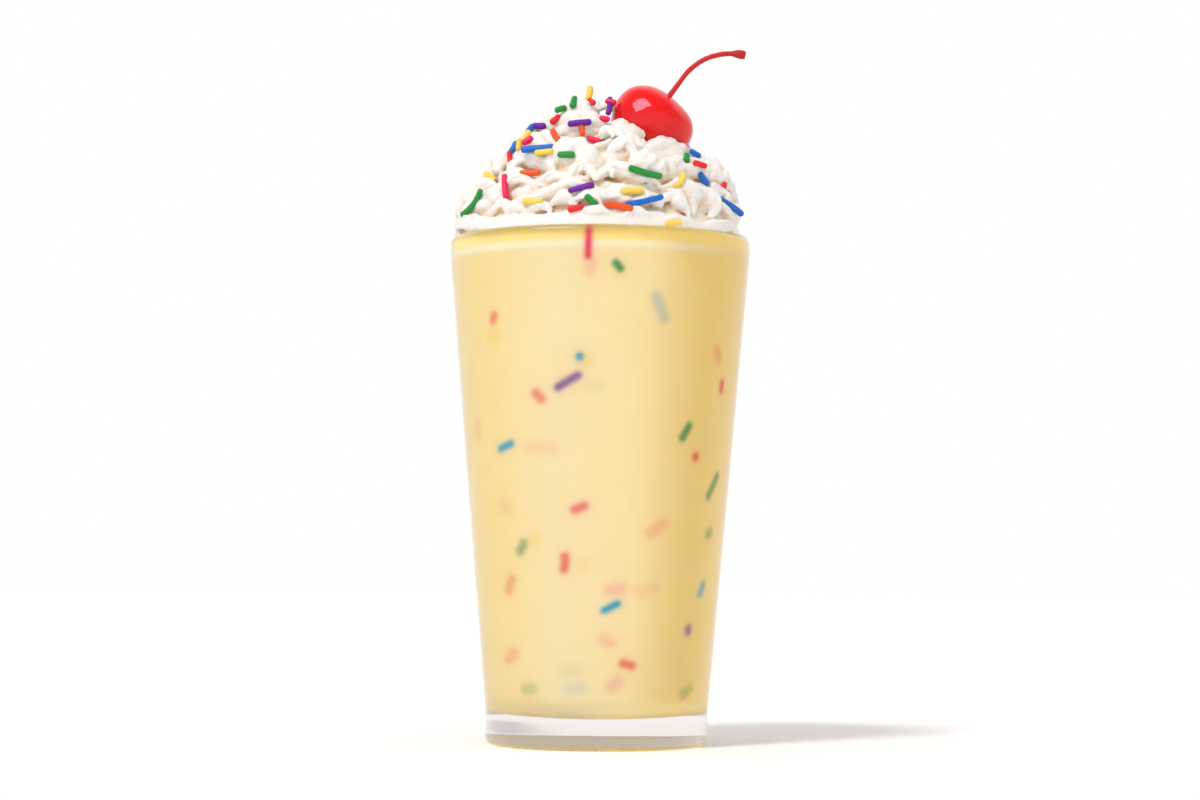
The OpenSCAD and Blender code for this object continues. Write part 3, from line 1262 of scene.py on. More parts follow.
FRONT = tuple(
    Lobe(*row)
    for row in (
        ((-10.8, 33.6), (-6.2, 36.0), (-1.5, 34.6), 6.4, 0.9, 0.0, SOFT, 3.0),
        ((-1.6, 38.0), (-0.8, 40.5), (-0.3, 43.4), 2.0, 0.15, 0.0, SOFT, 1.0),
        ((-1.0, 38.5), (1.5, 40.4), (2.8, 38.4), 1.6, 0.6, 0.0, SOFT, 4.0),
        ((-20.5, 29.3), (-17.0, 31.6), (-13.5, 30.3), 3.2, 0.7, 0.4, SOFT),
        ((0.0, 33.2), (1.8, 33.6), (3.2, 31.5), 1.9, 0.7, 0.1, SOFT),
        ((3.2, 33.2), (5.5, 32.0), (6.5, 29.6), 1.8, 0.6, 0.0, SOFT),
        ((6.6, 32.6), (8.6, 31.2), (9.0, 28.9), 1.7, 0.6, -0.1, SOFT),
        ((10.0, 31.0), (11.5, 30.0), (11.3, 28.0), 1.6, 0.6, -0.2, SOFT),
        ((12.8, 30.6), (13.2, 29.6), (12.6, 28.0), 1.3, 0.6, -0.2, SOFT),
        ((-14.5, 25.0), (-7.0, 26.5), (-0.8, 20.5), 5.4, 0.8, 0.3, SOFT),
        ((-9.0, 20.0), (-4.0, 22.5), (-1.0, 17.0), 3.2, 0.5, 0.0, SHARP),
        ((2.5, 23.0), (0.5, 20.0), (-2.0, 17.5), 2.4, 0.5, 0.0, Grooves(5, 0.2)),
        ((2.8, 23.0), (3.2, 20.5), (3.0, 18.5), 2.2, 0.6, 0.0, Grooves(5, 0.2)),
        ((2.5, 22.5), (10.0, 19.5), (18.5, 16.8), 4.2, 0.25, 0.0, Grooves(6, 0.2)),
        ((4.0, 27.5), (7.5, 28.5), (10.5, 25.5), 3.6, 0.7, 0.3, Grooves(6, 0.2)),
        ((9.0, 24.0), (12.5, 25.5), (15.5, 27.6), 2.7, 0.7, 0.2, Grooves(6, 0.25)),
        ((12.0, 22.5), (15.8, 23.8), (18.5, 26.0), 2.5, 0.7, 0.2, Grooves(6, 0.25)),
        ((15.5, 21.5), (19.0, 21.8), (21.0, 24.4), 2.5, 0.7, 0.2, Grooves(6, 0.25)),
        ((8.0, 21.0), (11.0, 22.8), (13.5, 23.5), 2.6, 0.8, 0.0, SHARP),
        ((21.5, 25.2), (23.5, 24.0), (26.0, 22.3), 2.9, 0.7, 0.3, SHARP),
        ((24.0, 26.4), (27.0, 24.0), (31.0, 21.5), 3.0, 0.6, 0.4, Grooves(6, 0.25)),
        ((29.0, 21.0), (33.0, 19.5), (36.0, 16.5), 4.4, 0.7, 0.3, SOFT),
        ((25.0, 17.0), (28.5, 14.0), (29.5, 9.0), 3.3, 0.8, 0.3, SOFT),
        ((29.5, 14.5), (33.0, 12.5), (34.5, 8.0), 3.0, 0.8, 0.3, SOFT),
        ((34.0, 16.0), (37.5, 13.5), (39.0, 9.0), 3.0, 0.7, 0.2, Grooves(4, 0.2)),
        ((20.0, 13.5), (24.0, 12.0), (27.0, 8.0), 3.0, 0.8, 0.1, SOFT),
        ((37.5, 11.0), (39.8, 8.5), (41.0, 5.5), 2.6, 0.7, 0.3),
        ((-36.0, 16.0), (-31.0, 23.5), (-24.5, 26.0), 4.8, 0.8, 0.4, SOFT),
        ((-26.0, 22.0), (-20.0, 24.5), (-14.0, 21.5), 4.0, 0.7, 0.25, Grooves(5, 0.2)),
        ((-30.0, 15.5), (-24.0, 18.5), (-17.5, 16.0), 3.4, 0.6, 0.2, SHARP),
        ((-19.0, 18.5), (-13.0, 19.5), (-7.5, 15.5), 3.6, 0.6, 0.2, Grooves(6, 0.22)),
        ((-38.5, 11.5), (-36.5, 15.5), (-33.0, 17.5), 3.4, 0.8, 0.3),
        ((-41.0, 6.5), (-39.5, 9.5), (-36.5, 11.0), 2.8, 0.8, 0.3, SHARP),
        ((-33.0, 9.5), (-30.5, 11.2), (-28.0, 9.2), 2.2, 0.8, 0.1, SHARP),
        ((-28.5, 8.5), (-25.5, 10.2), (-22.5, 8.0), 2.1, 0.8, 0.1),
        ((-22.0, 9.5), (-18.5, 10.8), (-15.5, 8.6), 2.2, 0.8, 0.1, SHARP),
        ((-15.0, 11.5), (-11.0, 12.8), (-8.0, 10.0), 2.4, 0.7, 0.1),
        ((-7.5, 12.5), (-3.0, 13.4), (1.0, 11.0), 2.3, 0.7, 0.1, SHARP),
        ((2.0, 13.0), (6.5, 13.6), (11.0, 12.2), 2.2, 0.7, 0.1),
        ((11.5, 12.5), (15.0, 13.5), (18.5, 11.4), 2.4, 0.7, 0.1, SHARP),
        ((-5.0, 8.2), (0.0, 8.8), (5.0, 7.4), 2.0, 0.8, 0.1, SOFT),
        ((8.0, 7.8), (12.5, 8.6), (17.0, 7.0), 2.0, 0.8, 0.1, SOFT),
        ((4.5, 15.5), (10.0, 15.0), (16.0, 14.5), 1.8, 0.5, 0.1, SHARP),
        ((-10.0, 17.0), (-5.0, 15.5), (0.0, 14.2), 2.4, 0.5, 0.1),
        ((-43.0, 1.5), (-41.0, 4.5), (-36.0, 5.0), 2.4, 0.8, 0.1, SOFT),
        ((-38.0, 4.0), (-33.0, 5.8), (-27.0, 5.0), 2.2, 0.8, 0.1, SOFT),
        ((-20.0, 5.2), (-14.0, 5.8), (-8.0, 5.2), 1.6, 0.8, 0.2, SOFT),
        ((18.0, 5.2), (24.0, 5.6), (30.0, 4.6), 2.0, 0.8, 0.2, SOFT),
        ((33.0, 4.5), (37.5, 5.0), (41.5, 2.5), 2.2, 0.8, 0.1, SOFT),
        ((-27.0, 27.0), (-22.0, 29.5), (-16.0, 27.5), 3.8, 0.8, 0.2, SOFT),
        ((-31.0, 22.0), (-28.0, 25.5), (-24.0, 27.0), 3.0, 0.8, 0.1, SOFT),
        ((-18.0, 34.0), (-14.0, 36.0), (-10.0, 33.0), 2.4, 0.8, 0.0, SOFT, 2.0),
    )
)


@dataclass
class Cream:
    """The heap of whipped cream, built as one distance field and meshed from it."""

    glass: PintGlass
    cherry_centre: Point
    cherry_r: float
    cell: float = 0.5
    margin: float = 2.0
    lowest: float = -4.0
    tall: float = 50.0
    seed: int = 12
    blend: float = 0.5
    heap_h: float = 38.0
    heap_in: float = 0.6
    shoulder: float = 0.707
    core_drop: float = 6.0
    core_slack: float = 0.6
    core_edge: Span = (0.90, 0.985)
    edge_wave: float = 0.010
    edge_side: float = 0.03
    side: Span = (0.5, 1.1)
    aim_up: float = 8.0
    press: float = 0.8
    warp: Flat = (0.7, 0.2)
    warp_reach: float = 2.0
    rope_room: float = 3.0
    steep: float = 0.95
    big_wave: float = 15.0
    small_wave: float = 5.0
    edge_length: float = 22.0
    puff_wave: float = 8.0
    crumple_wave: float = 3.6
    strays: int = 80
    stray_low: float = 6.5
    stray_span: float = 27.0
    stray_thick: Span = (2.0, 3.6)
    stray_length: Span = (5.0, 11.0)
    stray_lean: float = 1.2
    stray_least_r: float = 5.0
    stray_climb: float = 0.7
    stray_curl: float = 0.6
    stray_turn: Span = (75, 285)
    stray_depth: Span = (0.08, 0.26)
    stray_twist: Span = (40, 160)
    puff: float = 0.62
    crumple: float = 0.2
    skin_power: float = 0.8
    skin_middle: float = 0.6
    skin_from: Span = (1.5, 6.5)
    rim_gap: float = 0.02
    edge_in: float = 0.5
    depth: float = 0.9
    cherry_press: float = 0.15
    far: float = 3.0
    fold_cells: int = 7
    fold_rounds: int = 2
    fold_from: float = 0.48
    fold_span: float = 0.22
    tiers: tuple[Tier, ...] = (
        Tier(9, 33.6, 7.5, 7.0, 46, 5.0, 10),
        Tier(8, 28.0, 15.0, 7.0, 50, 5.0, 32),
        Tier(6, 19.8, 22.5, 7.0, 62, 5.0, 5),
        Tier(4, 10.5, 29.5, 6.6, 90, 4.0, 40),
    )

    def heap_z(self, r: np.ndarray) -> np.ndarray:
        """Returns the height above the rim of the plain heap at a distance from the axis."""
        share = np.clip(r / (self.glass.rim_r - self.heap_in), 0, 1)
        return self.heap_h * (1 - share**2) ** self.shoulder

    def heap_r(self, up: float) -> float:
        """Returns the radius of the plain heap at a height above the rim."""
        share = min(max(up / self.heap_h, 0.0), 1.0)
        return (self.glass.rim_r - self.heap_in) * math.sqrt(1 - share ** (1 / self.shoulder))

    def lobe_path(self, lobe: Lobe) -> Path:
        """Lays a lobe on the heap where it is seen from the camera.

        Args:
            lobe: the lobe.

        Returns:
            The points of its centre line above the rim and its radius at each.
        """
        eye_up = CAMERA_UP - self.glass.height
        rounds = 3
        t = np.linspace(0.0, 1.0, ROPE_POINTS)[:, None]
        first, middle, last = (np.array(p) for p in (lobe.start, lobe.middle, lobe.end))
        pull = 2 * middle - 0.5 * (first + last)
        seen = (1 - t) ** 2 * first + 2 * t * (1 - t) * pull + t**2 * last
        points = np.zeros((ROPE_POINTS, 3))
        for i, (across, up) in enumerate(seen):
            depth = lobe.front or 0.0
            for _ in range(rounds):
                near = 1 - depth / CAMERA_AWAY
                x = across * near
                z = eye_up + (up - eye_up) * near
                if lobe.front is None:
                    depth = math.sqrt(max(self.heap_r(z) ** 2 - x**2, 0.0))
            points[i] = x, -depth, z
        if lobe.front is None:
            inward = np.array([0.0, 0.0, self.aim_up]) - points
            inward /= np.linalg.norm(inward, axis=1, keepdims=True)
            points += inward * (lobe.sunk * lobe.thick + self.press)
        along = t[:, 0]
        return points, lobe.thick * plump(along, 0.14, 0.78, 0.6) * (1 + (lobe.tip - 1) * along)

    def stray_squeezes(self, rng: np.random.Generator) -> list[Squeeze]:
        """Returns small squeezes scattered over the sides and the back."""
        made = []
        for _ in range(self.strays):
            up = self.stray_low + self.stray_span * rng.random()
            thick = rng.uniform(*self.stray_thick)
            out = self.heap_r(up) - rng.uniform(0.0, 0.5) * thick - self.press
            length = rng.uniform(*self.stray_length)
            lean = rng.uniform(-self.stray_lean, self.stray_lean)
            made.append(
                Squeeze(
                    turn=rng.uniform(*self.stray_turn),
                    out=out,
                    up=up,
                    thick=thick,
                    run=math.degrees(length * math.cos(lean) / max(out, self.stray_least_r)),
                    climb=length * math.sin(lean) * self.stray_climb,
                    curl=self.stray_curl,
                    grooves=Grooves(
                        FEWEST_GROOVES + int(MORE_GROOVES * rng.random()),
                        rng.uniform(*self.stray_depth),
                        rng.uniform(*self.stray_twist),
                    ),
                )
            )
        return made

    def rope_field(self, path: Path, grooves: Grooves, field_: np.ndarray) -> None:
        """Joins a grooved rope to the distance field.

        Args:
            path: its centre line above the rim.
            grooves: its marks.
            field_: distance field, changed in place.
        """
        points, radii = path
        reach = float(radii.max()) + self.rope_room + self.warp_reach
        low, high = points.min(axis=0) - reach, points.max(axis=0) + reach
        i0 = np.maximum(((low - self.origin) / self.cell).astype(int), 0)
        i1 = np.minimum(((high - self.origin) / self.cell).astype(int) + 1, field_.shape)
        part = tuple(slice(a, b) for a, b in zip(i0, i1))
        px, py, pz = (w[part] for w in self.warped)
        best = np.full(px.shape, 1e9, dtype=np.float32)
        nearest = np.zeros(px.shape, dtype=np.int16)
        for i, (cx, cy, cz) in enumerate(points.astype(np.float32)):
            gap = (px - cx) ** 2 + (py - cy) ** 2 + (pz - cz) ** 2
            closer = gap < best
            best[closer] = gap[closer]
            nearest[closer] = i
        along = np.gradient(points, axis=0)
        along /= np.linalg.norm(along, axis=1, keepdims=True)
        steep = abs(along[:, 2]).max() >= self.steep
        level = np.array([0.0, 1.0, 0.0]) if steep else np.array([0.0, 0.0, 1.0])
        up = level - along * (along @ level)[:, None]
        up /= np.linalg.norm(up, axis=1, keepdims=True)
        side = np.cross(along, up)
        dx, dy, dz = (p - points[nearest, k].astype(np.float32) for k, p in enumerate((px, py, pz)))
        a = dx * up[nearest, 0] + dy * up[nearest, 1] + dz * up[nearest, 2]
        b = dx * side[nearest, 0] + dy * side[nearest, 1] + dz * side[nearest, 2]
        round_ = np.arctan2(b, a) + math.radians(grooves.twist) * nearest / len(points)
        crest = np.abs(np.sin(0.5 * grooves.count * round_)) ** grooves.crest
        radius = radii[nearest] * (1 - grooves.depth * (1 - crest))
        rope = np.sqrt(best) - radius
        field_[part] = smooth_min(field_[part], rope.astype(np.float32), self.blend)

    def places(self) -> list[np.ndarray]:
        """Lays out the field's cells, and the warped places that bend its ropes a little.

        Returns:
            Where each cell lies, with its height from the rim.
        """
        half = self.glass.rim_r + self.margin
        line = -half + self.cell * np.arange(int(2 * half / self.cell), dtype=np.float32)
        rise = self.lowest + self.cell * np.arange(int(self.tall / self.cell), dtype=np.float32)
        self.origin = np.array([line[0], line[0], rise[0]])
        made = np.meshgrid(line, line, rise, indexing="ij")
        self.warped = []
        for k, base in enumerate(made):
            big = Waves(self.seed + k, self.big_wave, 8).at(*made)
            small = Waves(self.seed + 10 + k, self.small_wave, 8).at(*made)
            self.warped.append(base + self.warp[0] * big + self.warp[1] * small)
        return made

    def field_of_heap(self) -> np.ndarray:
        """Works out the distance field; its height runs from the rim."""
        x, y, z = self.places()
        true_r = np.sqrt(x**2 + y**2)
        share = true_r / self.glass.rim_r
        away = self.edge_side * smoothstep(*self.side, np.abs(np.arctan2(x, -y)))
        uneven = self.edge_wave * Waves(self.seed + 30, self.edge_length, 6).at(x, y, z)
        drop = self.core_drop * (1 - smoothstep(*self.core_edge, share + uneven - away))
        field_ = ((z - self.heap_z(true_r) + drop) * self.core_slack).astype(np.float32)
        rng = np.random.default_rng(self.seed)
        squeezes = [squeeze for tier in self.tiers for squeeze in tier.squeezes(rng)]
        ropes = [(s.path(), s.grooves) for s in squeezes + self.stray_squeezes(rng)]
        ropes += [(self.lobe_path(lobe), lobe.grooves) for lobe in FRONT]
        for path, grooves in ropes:
            self.rope_field(path, grooves, field_)
        above = smoothstep(*self.skin_from, z)
        puffs = Waves(self.seed + 20, self.puff_wave, 10).at(*self.warped)
        crumples = Waves(self.seed + 21, self.crumple_wave, 10).at(*self.warped)
        field_ -= above * self.puff * (np.abs(puffs) ** self.skin_power - self.skin_middle)
        field_ += above * self.crumple * (np.abs(crumples) ** self.skin_power - self.skin_middle)
        rim_round = self.glass.rim_wall / 2
        rim = np.hypot(true_r - (self.glass.rim_r - rim_round), z + rim_round) - rim_round
        field_ = np.maximum(field_, self.rim_gap - rim)
        field_ = np.maximum(field_, true_r - (self.glass.rim_r - self.edge_in))
        field_ = np.maximum(field_, -self.depth - z)
        cx, cy, cz = self.cherry_centre
        cherry = np.sqrt((x - cx) ** 2 + (y - cy) ** 2 + (z + self.glass.height - cz) ** 2)
        return np.maximum(field_, self.cherry_r - self.cherry_press - cherry)

    def build(self, material: bpy.types.Material) -> bpy.types.Object:
        """Builds the heap.

        Args:
            material: its finish.

        Returns:
            The piece.
        """
        field_ = self.field_of_heap()
        grid = openvdb.FloatGrid(self.far)
        grid.copyFromArray(np.clip(field_, -self.far, self.far).astype(np.float32), tolerance=0.0)
        verts, quads = grid.convertToQuads(isovalue=0.0)
        at = verts * self.cell + self.origin
        at[:, 2] += self.glass.height
        cream = mesh_object("whipped_cream", at, quads[:, ::-1])
        # fold marks the creases, where the finish paints shade
        add_value(cream, "fold", self.folds(field_, verts))
        cream.data.materials.append(material)
        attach(cream, ROOT)
        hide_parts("cream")
        return cream

    def folds(self, field_: np.ndarray, verts: np.ndarray) -> np.ndarray:
        """Tells how deep in a fold each point of the mesh lies, where the cream's finish paints shade.

        Args:
            field_: the distance field.
            verts: the mesh's points, in cells.

        Returns:
            A number from 0 on ridges to 1 deep in folds.
        """
        full = (np.clip(0.5 - field_, 0, 1)).astype(np.float32)
        n = self.fold_cells
        for axis in [axis for axis in range(3) for _ in range(self.fold_rounds)]:
            room = [((n + 1) // 2, n // 2) if k == axis else (0, 0) for k in range(3)]
            total = np.cumsum(np.pad(full, room, mode="edge"), axis)
            upper = tuple(slice(n, None) if k == axis else slice(None) for k in range(3))
            lower = tuple(slice(None, -n) if k == axis else slice(None) for k in range(3))
            full = (total[upper] - total[lower]) / float(n)
        i, j, k = (np.clip(np.round(verts[:, c]).astype(int), 0, full.shape[c] - 1) for c in range(3))
        return np.clip((full[i, j, k] - self.fold_from) / self.fold_span, 0, 1)


# ---------------------------------------------------------------- cherry


@dataclass
class Cherry:
    """Preserved cherry with a dimple, leaning to the right, and its stem."""

    radius: float = 12.6
    top_h: float = 9.2
    dimple_h: float = 2.2
    dimple_r: float = 3.4
    square: float = 2.35
    tilt: float = 36.0
    shrink: float = 0.012
    wave: float = 11.0
    wave_seed: int = 5
    stem_l: float = 30.0
    stem_straight: float = 9.5
    stem_off: float = 0.7
    stem_d: float = 1.5
    stem_root_d: float = 2.0
    stem_end_d: float = 2.7
    stem_rise: float = 54.0
    stem_end_rise: float = -14.0
    stem_uneven: float = 0.25
    stem_points: int = 56
    stem_sides: int = 18
    root_fade: float = 12.0
    swell: Span = (0.84, 0.95)
    tip_share: float = 0.75
    socket_h: float = 1.4
    steps: int = 34
    sides: int = 96
    centre: Point = field(init=False)

    def __post_init__(self) -> None:
        """Takes the cherry's place from the frame: its left, its middle and its underside."""
        low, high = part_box("cherry")
        self.centre = (
            low[0] / MM + self.radius,
            (low[1] + high[1]) / 2 / MM,
            low[2] / MM + self.radius,
        )

    def top(self, x: float) -> float:
        """Returns the height of the stem end at a distance from the cherry's own axis."""
        t = min(1.0, x / self.radius)
        crown = self.top_h * (1 - t**self.square) ** (1 / self.square)
        return crown - self.dimple_h * math.exp(-2 * (x / self.dimple_r) ** 2)

    def leaned(self) -> Matrix:
        """Returns the turn from the cherry's own axis to its lean."""
        return Matrix.Rotation(math.radians(self.tilt), 3, "Y")

    def build(self, material: bpy.types.Material) -> bpy.types.Object:
        """Builds the fruit."""
        below = [
            (self.radius * math.cos(a), -self.radius * math.sin(a))
            for a in (math.pi / 2 * (1 - i / self.steps) for i in range(self.steps))
        ]
        below[0] = (0.0, -self.radius)
        xs = [self.radius * math.cos(math.pi / 2 * i / self.steps) for i in range(self.steps)] + [0.0]
        fruit = turned("cherry_fruit", below + [(x, self.top(x)) for x in xs], self.sides)
        at = points_of(fruit) @ np.array(self.leaned()).T + np.array(self.centre)
        out = at - np.array(self.centre)
        at -= out * (self.shrink * (1 + Waves(self.wave_seed, self.wave).at(*at.T)))[:, None]
        fruit.data.vertices.foreach_set("co", (at * MM).astype(np.float32).ravel())
        fruit.data.update()
        fruit.data.materials.append(material)
        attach(fruit, ROOT)
        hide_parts("cherry")
        return fruit

    def stem_path(self) -> Path:
        """Returns the points of the stem's centre line and its radius at each."""
        socket = self.leaned() @ Vector((-self.stem_off, 0, self.top(self.stem_off)))
        s = np.linspace(-self.socket_h, self.stem_l, self.stem_points)
        t = np.clip(s / self.stem_l, 0, 1)
        bend = np.clip((s - self.stem_straight) / (self.stem_l - self.stem_straight), 0, 1)
        rise = np.radians(self.stem_rise + (self.stem_end_rise - self.stem_rise) * bend)
        step = np.diff(s, prepend=s[0])
        run = np.cumsum(step * np.cos(rise)) - self.socket_h * math.cos(rise[0])
        lift = np.cumsum(step * np.sin(rise)) - self.socket_h * math.sin(rise[0])
        points = np.array(self.centre) + np.array(socket) + np.stack([run, np.zeros_like(run), lift], axis=1)
        flare = (self.stem_root_d - self.stem_d) * np.exp(-self.root_fade * t)
        knob = (self.stem_end_d - self.stem_d) * smoothstep(*self.swell, t)
        radii = (self.stem_d + flare + knob) / 2
        radii[-1] *= self.tip_share
        return points, radii

    def build_stem(self, rods: RodTree, material: bpy.types.Material) -> bpy.types.Object:
        """Builds the stem."""
        stem = rods.build("cherry_stem", [self.stem_path()], self.stem_sides, self.stem_uneven, material)
        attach(stem, ROOT)
        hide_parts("stem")
        return stem


# ---------------------------------------------------------------- sprinkles


RED, PINK, ORANGE, YELLOW, GREEN, BLUE, PURPLE, TEAL = Sugar
ON_CREAM = tuple(
    Laid(*row)
    for row in (
        (YELLOW, -3.5, 44.1, 80, 4.7, 30, 1.6),
        (GREEN, -8.2, 41.7, 78, 3.7, 8, 1.0),
        (GREEN, -11.8, 38.2, 20, 3.7, 0, 0.9),
        (RED, -13.5, 36.1, 45, 3.7),
        (PURPLE, -6.4, 35.2, 5, 7.1, -6),
        (PURPLE, -18.0, 33.4, -5, 4.0),
        (BLUE, -20.6, 32.5, 50, 3.2),
        (YELLOW, -22.1, 31.1, 65, 4.0),
        (PINK, -21.5, 29.3, 30, 3.8),
        (YELLOW, -24.2, 28.4, 85, 3.7),
        (BLUE, -25.7, 27.8, 60, 4.0),
        (BLUE, -18.3, 26.9, 4, 9.8, -4, 0.5),
        (YELLOW, -16.5, 25.7, 5, 5.6),
        (ORANGE, -13.5, 31.1, -60, 4.9, 20),
        (ORANGE, -5.5, 32.0, -84, 3.8),
        (PINK, -2.0, 29.9, -20, 4.7, -10),
        (GREEN, -10.3, 25.7, 0, 5.1),
        (RED, -26.8, 24.0, -83, 5.6),
        (ORANGE, -20.3, 19.5, 0, 6.2, 4),
        (YELLOW, -32.8, 18.9, -35, 4.2),
        (PINK, -27.7, 15.7, -84, 7.7, 10),
        (GREEN, -37.8, 10.7, 52, 9.8, 38, 0.4),
        (YELLOW, -20.0, 11.8, -3, 5.9),
        (PURPLE, -5.8, 16.0, 14, 7.7, -5),
        (GREEN, -2.9, 12.1, -42, 4.0),
        (RED, -7.3, 9.8, 8, 4.8),
        (ORANGE, 5.4, 10.4, -10, 8.2, -6),
        (YELLOW, 9.3, 14.8, 3, 6.8),
        (BLUE, 13.4, 12.1, 15, 10.6, 8, 0.4),
        (GREEN, 13.1, 20.4, -14, 10.0, 12, 0.5),
        (YELLOW, 24.0, 18.0, 60, 5.6, 110),
        (GREEN, 25.5, 25.1, 80, 2.8),
        (BLUE, 27.6, 26.0, -30, 3.8),
        (RED, 29.4, 23.1, -15, 4.2),
        (BLUE, 29.1, 18.0, -55, 4.4),
        (RED, 36.2, 16.6, 70, 2.6),
        (BLUE, 38.3, 11.2, -28, 9.8, -15, 0.5),
        (YELLOW, 21.7, 5.6, 8, 5.0, 0, 0.0),
        (RED, -2.9, 41.4, -40, 2.6),
        (RED, 2.8, 41.4, -15, 3.4),
        (PURPLE, 2.5, 39.3, 85, 5.9, 25),
        (PINK, 1.0, 35.8, -10, 3.2),
    )
)

IN_SHAKE = tuple(
    Sunk(*row)
    for row in (
        (PINK, -3.3, 149.2, 88, 8.4, 0.95),
        (GREEN, 5.2, 142.4, -50, 3.8, 0.95),
        (TEAL, 17.3, 130.0, -65, 8.0, 0.35),
        (RED, -30.5, 126.4, 60, 3.0, 0.6),
        (TEAL, -5.6, 115.2, 80, 2.0, 0.92),
        (PURPLE, -8.9, 107.8, 30, 8.3, 0.8),
        (RED, -17.2, 103.3, -45, 4.0, 0.6),
        (TEAL, -26.6, 88.3, 18, 6.4, 0.92),
        (ORANGE, -16.3, 88.0, -4, 9.0, 0.15),
        (GREEN, 24.9, 93.0, 58, 5.9, 0.85),
        (RED, 27.8, 85.6, 80, 2.0, 0.75),
        (GREEN, 33.1, 77.0, 55, 8.9, 0.75),
        (RED, 35.5, 106.6, 85, 3.8, 0.8),
        (RED, 34.3, 116.0, -60, 4.0, 0.35),
        (PINK, -5.3, 70.2, 22, 4.6, 0.7),
        (RED, -9.2, 53.9, 85, 5.3, 0.7, 30),
        (GREEN, -21.6, 58.4, 55, 4.2, 0.55),
        (ORANGE, -24.9, 47.4, 60, 5.0, 0.4),
        (TEAL, 3.8, 40.9, 28, 5.9, 0.95),
        (PINK, 5.0, 46.2, 10, 5.0, 0.25),
        (GREEN, 32.0, 63.0, 20, 3.2, 0.5),
        (TEAL, 29.9, 46.5, 65, 4.2, 0.65),
        (PURPLE, 26.0, 34.4, 80, 2.4, 0.65),
        (RED, 8.6, 24.0, -15, 4.2, 0.7),
        (ORANGE, 16.6, 64.3, 35, 6.2, 0.28),
        (PINK, -24.3, 26.4, 30, 5.0, 0.28),
        (PINK, 2.7, 30.9, -20, 4.0, 0.22),
        (PINK, 5.0, 18.1, 40, 4.0, 0.25),
        (GREEN, 25.7, 16.4, 30, 5.0, 0.35),
        (GREEN, -19.2, 16.6, 5, 4.0, 0.3),
        (TEAL, -6.2, 16.7, 10, 5.0, 0.15),
        (PINK, -2.8, 142.0, 80, 4.0, 0.2),
        (YELLOW, -30.3, 120.5, 10, 4.0, 0.35),
        (YELLOW, -3.6, 113.7, 50, 2.6, 0.4),
        (YELLOW, -17.9, 60.8, 60, 3.2, 0.35),
        (YELLOW, -3.8, 53.0, 70, 3.4, 0.25),
        (PINK, -26.6, 70.3, -30, 4.5, 0.12),
        (PINK, -35.0, 93.0, 80, 4.0, 0.15),
        (PINK, 14.0, 46.1, 15, 6.0, 0.12),
        (GREEN, -1.0, 106.5, 10, 4.0, 0.08),
        (GREEN, -7.3, 22.0, 5, 5.0, 0.1),
    )
)


